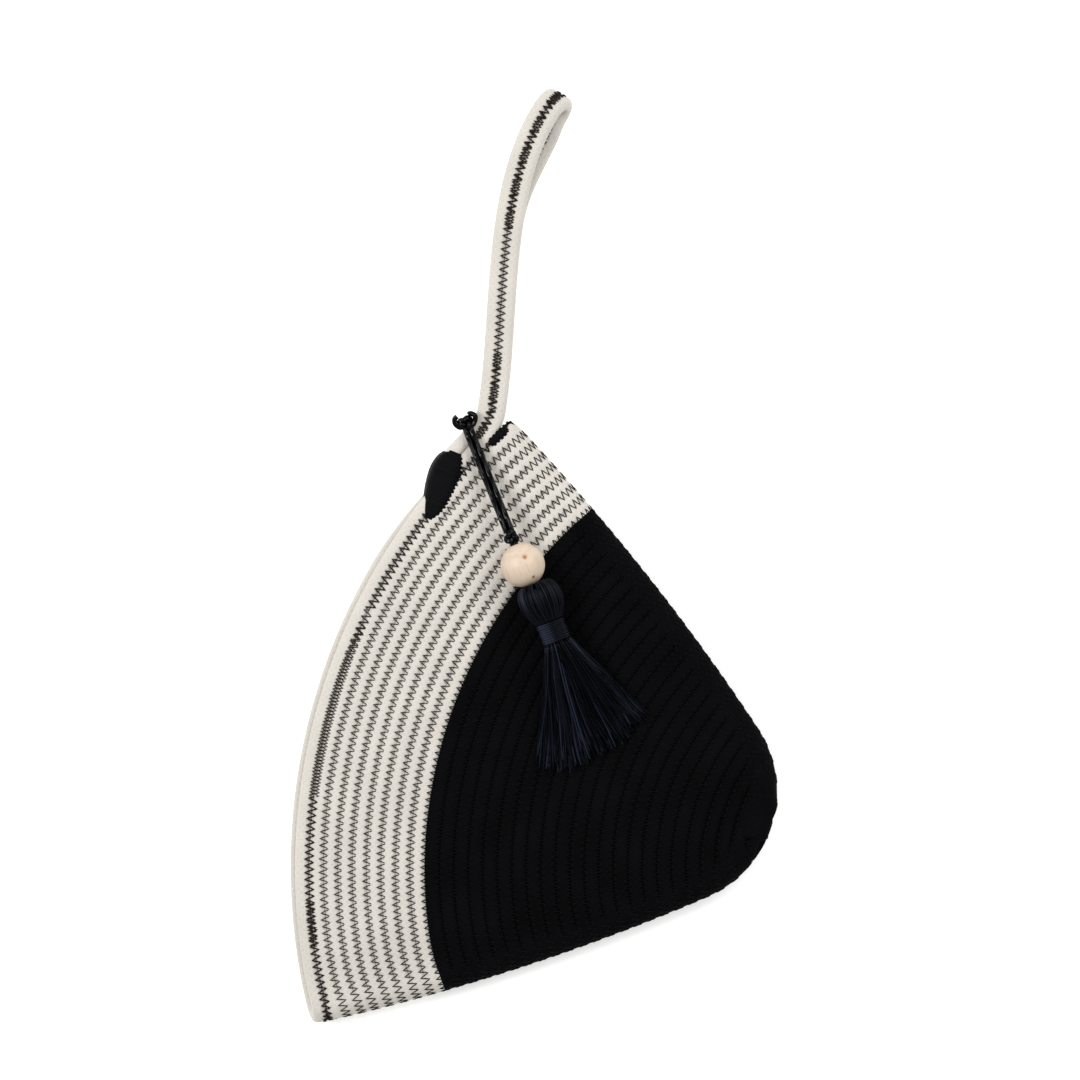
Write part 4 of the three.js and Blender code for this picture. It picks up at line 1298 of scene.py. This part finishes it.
def tassel_place(distance, across, height):
    """Points of the tassel, measured along it from its swinging point."""
    pivot = cord_place(*TASSEL_TOP, node_centre("wooden_bead")[2])
    along = heading(TASSEL_DIRECTION)
    side = np.array([along[1], -along[0]])
    down = np.multiply.outer(np.asarray(distance, float), along)
    plan = pivot[:2] + down + np.multiply.outer(np.asarray(across, float), side)
    return np.column_stack([plan, pivot[2] + np.asarray(height, float)])


def tassel_axis(distance):
    """Points on the tassel's own axis."""
    return tassel_place(distance, np.zeros(len(distance)), np.zeros(len(distance)))


def painted_head_highlight(rng, turn, distance):
    """A head strand's painted highlight: strong on a few strands, weak on many, and most of it on the side
    that faces the light.
    """
    # Painted highlight, heaviest on the side that the key light comes from
    lit = smooth(math.cos(turn) + 0.1)
    painted_highlight = rng.random() ** 7 * (0.2 + 0.8 * lit) + 0.15 * lit * rng.random() ** 2
    shoulder = np.exp(-((distance - PAINTED_HIGHLIGHT_AT) / PAINTED_HIGHLIGHT_REACH) ** 2)
    return np.minimum(painted_highlight * (0.35 + 0.65 * shoulder), 1.0)


def make_tassel_head():
    """Yarn folded over the cord's end, in a pear that cups the bead's foot, round a solid core."""
    rng = random.Random(11)
    strands = Strands()
    profile = curve_through(HEAD_PROFILE, 3)
    slope = unit(np.gradient(profile, axis=0))
    shoulder = int(np.argmin(profile[:, 0]))
    t = np.linspace(0.0, 1.0, len(profile))
    depth = HEAD_CORE + t * (NECK_START + NECK_LENGTH - HEAD_CORE)
    core = tassel_axis(depth)
    girth = np.interp(depth, profile[shoulder:, 0], profile[shoulder:, 1]) - CORE_INSET
    strands.tube(core, up_normals(core), 2.0, 2.0, CORE_SIDES, CORE_TONE, taper=girth)
    along = np.array([*heading(TASSEL_DIRECTION), 0.0])
    number = counts().head_strands
    for i in range(number):
        turn = 2 * math.pi * (i + rng.uniform(-HEAD_SPACING, HEAD_SPACING)) / number
        swirl = turn + rng.uniform(-HEAD_SWIRL, HEAD_SWIRL) * np.sin(math.pi * t)
        radius = profile[:, 1] + rng.uniform(-HEAD_ROUGHNESS, HEAD_ROUGHNESS)
        place = tassel_place(profile[:, 0], radius * np.cos(swirl), radius * np.sin(swirl))
        outward = unit(place - tassel_axis(profile[:, 0]))
        normals = slope[:, :1] * outward - slope[:, 1:] * along
        # Each strand's tone is its painted highlight
        strands.tube(place, normals, *HEAD_YARN, YARN_SIDES, painted_head_highlight(rng, turn, profile[:, 0]))
    piece = strands.make("tassel_yarn_head", tassel_yarn())
    ends = to_frame(tassel_axis(HEAD_BEND))
    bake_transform(piece)
    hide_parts("tassel_head")


def make_cord_through_bead():
    """The doubled cord in the bead's bore, from the lower knot into the tassel's head."""
    height = node_centre("tassel_lower_knot")[2]
    strands = Strands()
    for side in (-1, 1):
        reach = np.linspace(knot_distance(), CORD_END, BORE_POINTS)
        line = np.array([cord_place(distance, side * BORE_OFFSET, height) for distance in reach])
        strands.tube(line, up_normals(line), BORE_CORD, BORE_CORD, CORD_SIDES)
    cord_piece(strands, "cord_through_bead", "tassel_cord", "tassel_hanger")


def make_tassel_neck():
    """Yarn wound round the neck in close turns, with a painted highlight on the side that faces the light."""
    strands = Strands()
    t = np.linspace(0, 1, NECK_TURNS * NECK_TURN_POINTS)
    turn = 2 * math.pi * NECK_TURNS * t
    radius = NECK_RADIUS + NECK_UNEVEN * np.sin(turn * 0.31)
    distance = NECK_START + t * NECK_LENGTH
    place = tassel_place(distance, radius * np.cos(turn), radius * np.sin(turn))
    # Painted highlight on the side of the windings that faces the light
    painted_highlight = 0.02 + NECK_PAINTED_HIGHLIGHT * np.clip(np.cos(turn - NECK_PAINTED_HIGHLIGHT_TURN), 0, 1) ** 8
    strands.tube(place, unit(place - tassel_axis(distance)), *NECK_YARN, NECK_SIDES, painted_highlight)
    piece = strands.make("tassel_neck_windings", tassel_yarn())
    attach(piece, "tassel")
    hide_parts("tassel_neck_binding")


def skirt_locks(rng, t):
    """The skirt's locks of yarn, each with its own way, length, curl and painted highlight."""
    locks = []
    for i in range(SKIRT_LOCKS):
        right = ((i + rng.random()) / SKIRT_LOCKS) ** SKIRT_LEAN
        locks.append({
            "fan": SKIRT_HALF_FAN * (1 - 2 * right),
            "length": SKIRT_LENGTH * (1 - LOCK_SHORTENS * right) * rng.uniform(*LOCK_LENGTHS),
            "curl": rng.uniform(*LOCK_CURL),
            "wave": rng.uniform(*LOCK_WAVE) * np.sin(t * rng.uniform(*LOCK_WAVE_BEATS) + rng.uniform(0, 6)),
            # Painted highlight, strong on a few locks and fading towards the side away from the light
            "painted_highlight": rng.random() ** 4 * (1 - LOCK_HIGHLIGHT_FADES * right),
        })
    return locks


def skirt_strand(rng, t, lock, floor):
    """One strand's line and painted highlight: out of the neck, down to the bag's crown and out along its
    lock.
    """
    turn = rng.uniform(0, 2 * math.pi)
    spread = SKIRT_ROOT * math.sqrt(rng.random())
    aside = lock["fan"] / SKIRT_HALF_FAN
    root_across = 0.75 * SKIRT_ROOT * aside + 0.3 * spread * math.cos(turn)
    root_up = math.sqrt(max(0.0, 1 - (root_across / NECK_RADIUS) ** 2)) * spread * math.sin(turn)
    fan = lock["fan"] + rng.gauss(0, STRAND_FAN)
    layer = 0.5 + 0.5 * root_up / NECK_RADIUS
    length = lock["length"] * rng.uniform(*STRAND_LENGTHS)
    stray = rng.gauss(0, STRAND_STRAY) * t ** 2
    stray = stray + rng.uniform(*STRAND_WAVE) * np.sin(t * rng.uniform(*STRAND_WAVE_BEATS) + turn)
    distance = NECK_START + NECK_LENGTH - SKIRT_OVERLAP + t * length * math.cos(fan)
    across = root_across * (1 - 0.3 * t) + t * length * math.sin(fan)
    across = across + lock["curl"] * t ** 3 + lock["wave"] * t + stray
    thinning = 1 - SIDE_THINS * abs(fan) / SKIRT_HALF_FAN
    end_height = floor + SKIRT_LAYERS * layer * thinning * rng.uniform(*STRAND_LAYERS)
    height = root_up * (1 - smooth(t)) + end_height * smooth(t * 1.15)
    place = tassel_place(distance, across, np.maximum(height, floor + 0.02))
    # A few strands get a strong painted highlight of their own
    return place, min(1.0, 0.4 * lock["painted_highlight"] + 0.7 * rng.random() ** 8)


def make_tassel_skirt():
    """Loose yarn that leaves the round neck in locks, falls to the bag's crown and fans out flat on it."""
    yarn = sizes().yarn
    rng = random.Random(23)
    strands = Strands()
    floor = MID_HEIGHT + FOLD_RADIUS + CROWN + WALL / 2 + yarn - node_centre("wooden_bead")[2]
    t = np.linspace(0, 1, SKIRT_POINTS)
    locks = skirt_locks(rng, t)
    for i in range(counts().skirt_strands):
        place, painted_highlight = skirt_strand(rng, t, locks[i % SKIRT_LOCKS], floor)
        strands.tube(place, up_normals(place), yarn, yarn, THREAD_SIDES, painted_highlight, 1 - TIP_THINS * t ** 4)
    piece = strands.make("tassel_yarn_skirt", tassel_yarn())
    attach(piece, "tassel")
    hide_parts("tassel_skirt")


# Stage

def make_floor():
    """A pale floor that glows a little, so that it stays light all over."""
    deselect()
    bpy.ops.mesh.primitive_plane_add(size=FLOOR_SIZE, location=(0, 0, -FLOOR_DROP))
    floor = bpy.context.object
    floor.name = "floor"
    material, _, shader = new_material("Pale floor")
    shader.inputs["Base Color"].default_value = colours().floor
    shader.inputs["Roughness"].default_value = 0.9
    shader.inputs["Emission Color"].default_value = colours().floor
    shader.inputs["Emission Strength"].default_value = FLOOR_GLOW
    floor.data.materials.append(material)


def make_lights():
    """Soft light from all round, and two large lamps above the bag."""
    world = bpy.data.worlds.new("Soft studio")
    world.use_nodes = True
    background = world.node_tree.nodes["Background"]
    background.inputs["Color"].default_value = (1, 1, 1, 1)
    background.inputs["Strength"].default_value = WORLD_LIGHT
    bpy.context.scene.world = world
    for name, place, turn, energy, size in LIGHTS:
        light = bpy.data.lights.new(name, "AREA")
        light.energy = energy
        light.size = size
        lamp = bpy.data.objects.new(name, light)
        lamp.location = place
        lamp.rotation_euler = turn
        bpy.context.collection.objects.link(lamp)


def make_camera():
    """A camera straight over the bag and its strap."""
    camera = bpy.data.cameras.new("camera")
    camera.angle = 2 * math.atan(sizes().frame_width * MM / 2 / (CAMERA_PLACE[2] - MID_HEIGHT * MM))
    eye = bpy.data.objects.new("camera", camera)
    eye.location = CAMERA_PLACE
    bpy.context.collection.objects.link(eye)
    bpy.context.scene.camera = eye
    bpy.context.scene.view_settings.view_transform = "Standard"


# Operators, one for each piece or group of like pieces

class ROPECLUTCH_OT_stage(bpy.types.Operator):
    """Set the floor, lights and camera"""

    bl_idname = "rope_clutch.stage"
    bl_label = "Stage"
    bl_options = {"REGISTER", "UNDO"}

    def execute(self, context):
        make_floor()
        make_lights()
        make_camera()
        return {"FINISHED"}


class ROPECLUTCH_OT_cord(bpy.types.Operator):
    """Tie the doubled cord with its knots"""

    bl_idname = "rope_clutch.cord"
    bl_label = "Tassel cord"
    bl_options = {"REGISTER", "UNDO"}

    def execute(self, context):
        make_cord()
        return {"FINISHED"}


class ROPECLUTCH_OT_black_coil(bpy.types.Operator):
    """Coil the black rope from the corner outward"""

    bl_idname = "rope_clutch.black_coil"
    bl_label = "Black coil"
    bl_options = {"REGISTER", "UNDO"}

    def execute(self, context):
        make_black_coil()
        return {"FINISHED"}


class ROPECLUTCH_OT_white_coil(bpy.types.Operator):
    """Coil the white rope on from the black one"""

    bl_idname = "rope_clutch.white_coil"
    bl_label = "White coil"
    bl_options = {"REGISTER", "UNDO"}

    def execute(self, context):
        make_white_coil()
        return {"FINISHED"}


class ROPECLUTCH_OT_rim(bpy.types.Operator):
    """Lay the rim row and the strap's tails"""

    bl_idname = "rope_clutch.rim"
    bl_label = "Rim and tails"
    bl_options = {"REGISTER", "UNDO"}

    def execute(self, context):
        make_rim()
        make_strap_tail(1, "strap_tail_rope_front", "strap_tail_front")
        make_strap_tail(-1, "strap_tail_rope_back", "strap_tail_back")
        return {"FINISHED"}


class ROPECLUTCH_OT_strap(bpy.types.Operator):
    """Loop and sew the wrist strap"""

    bl_idname = "rope_clutch.strap"
    bl_label = "Wrist strap"
    bl_options = {"REGISTER", "UNDO"}

    def execute(self, context):
        make_strap_rope(-1, "strap_inner_rope")
        make_strap_rope(1, "strap_outer_rope")
        make_strap_seams()
        return {"FINISHED"}


class ROPECLUTCH_OT_seams(bpy.types.Operator):
    """Sew the rows together with zigzag seams"""

    bl_idname = "rope_clutch.seams"
    bl_label = "Seams"
    bl_options = {"REGISTER", "UNDO"}

    def execute(self, context):
        pitch = sizes().row_pitch
        make_row_seams("black_zigzag_seams", FIRST_ROW + pitch, BLACK_ROWS, SEAM_SKIP, black_thread())
        make_row_seams("white_zigzag_seams", white_first() + pitch / 2, WHITE_ROWS - 1, 0, charcoal_thread())
        make_rim_seam()
        return {"FINISHED"}


class ROPECLUTCH_OT_satin(bpy.types.Operator):
    """Stitch the satin oval and the bar tack"""

    bl_idname = "rope_clutch.satin"
    bl_label = "Satin trim"
    bl_options = {"REGISTER", "UNDO"}

    def execute(self, context):
        make_satin_trim()
        return {"FINISHED"}


class ROPECLUTCH_OT_bead(bpy.types.Operator):
    """Turn the wooden bead"""

    bl_idname = "rope_clutch.bead"
    bl_label = "Bead"
    bl_options = {"REGISTER", "UNDO"}

    def execute(self, context):
        make_bead()
        return {"FINISHED"}


class ROPECLUTCH_OT_head(bpy.types.Operator):
    """Fold the yarn over into the tassel's head, round the cord's end"""

    bl_idname = "rope_clutch.head"
    bl_label = "Tassel head"
    bl_options = {"REGISTER", "UNDO"}

    def execute(self, context):
        make_tassel_head()
        make_cord_through_bead()
        return {"FINISHED"}


class ROPECLUTCH_OT_neck(bpy.types.Operator):
    """Bind the tassel's neck"""

    bl_idname = "rope_clutch.neck"
    bl_label = "Neck binding"
    bl_options = {"REGISTER", "UNDO"}

    def execute(self, context):
        make_tassel_neck()
        return {"FINISHED"}


class ROPECLUTCH_OT_skirt(bpy.types.Operator):
    """Fan out the tassel's skirt"""

    bl_idname = "rope_clutch.skirt"
    bl_label = "Tassel skirt"
    bl_options = {"REGISTER", "UNDO"}

    def execute(self, context):
        make_tassel_skirt()
        return {"FINISHED"}


OPERATORS = (
    ROPECLUTCH_OT_stage, ROPECLUTCH_OT_cord, ROPECLUTCH_OT_black_coil, ROPECLUTCH_OT_white_coil,
    ROPECLUTCH_OT_rim, ROPECLUTCH_OT_strap, ROPECLUTCH_OT_seams, ROPECLUTCH_OT_satin,
    ROPECLUTCH_OT_bead, ROPECLUTCH_OT_head, ROPECLUTCH_OT_neck, ROPECLUTCH_OT_skirt,
)


class ROPECLUTCH_PT_panel(bpy.types.Panel):
    """Lists the clutch's sizes, colours and pieces in the sidebar"""

    bl_idname = "ROPECLUTCH_PT_panel"
    bl_label = "Rope clutch"
    bl_space_type = "VIEW_3D"
    bl_region_type = "UI"
    bl_category = "Rope clutch"

    def draw(self, context):
        scene = context.scene
        for group in (scene.rope_clutch_sizes, scene.rope_clutch_counts, scene.rope_clutch_colours):
            for name in type(group).__annotations__:
                self.layout.prop(group, name)
        for operator in OPERATORS:
            self.layout.operator(operator.bl_idname)


CLASSES = (RopeClutchSizes, RopeClutchCounts, RopeClutchColours, *OPERATORS, ROPECLUTCH_PT_panel)


def register():
    for item in CLASSES:
        bpy.utils.register_class(item)
    bpy.types.Scene.rope_clutch_sizes = bpy.props.PointerProperty(type=RopeClutchSizes)
    bpy.types.Scene.rope_clutch_counts = bpy.props.PointerProperty(type=RopeClutchCounts)
    bpy.types.Scene.rope_clutch_colours = bpy.props.PointerProperty(type=RopeClutchColours)


def unregister():
    del bpy.types.Scene.rope_clutch_colours
    del bpy.types.Scene.rope_clutch_counts
    del bpy.types.Scene.rope_clutch_sizes
    for item in reversed(CLASSES):
        bpy.utils.unregister_class(item)


def main():
    register()
    bpy.ops.rope_clutch.stage()
    bpy.ops.rope_clutch.cord()
    bpy.ops.rope_clutch.black_coil()
    bpy.ops.rope_clutch.white_coil()
    bpy.ops.rope_clutch.rim()
    bpy.ops.rope_clutch.strap()
    bpy.ops.rope_clutch.seams()
    bpy.ops.rope_clutch.satin()
    bpy.ops.rope_clutch.bead()
    bpy.ops.rope_clutch.head()
    bpy.ops.rope_clutch.neck()
    bpy.ops.rope_clutch.skirt()


if __name__ == "__main__":
    main()
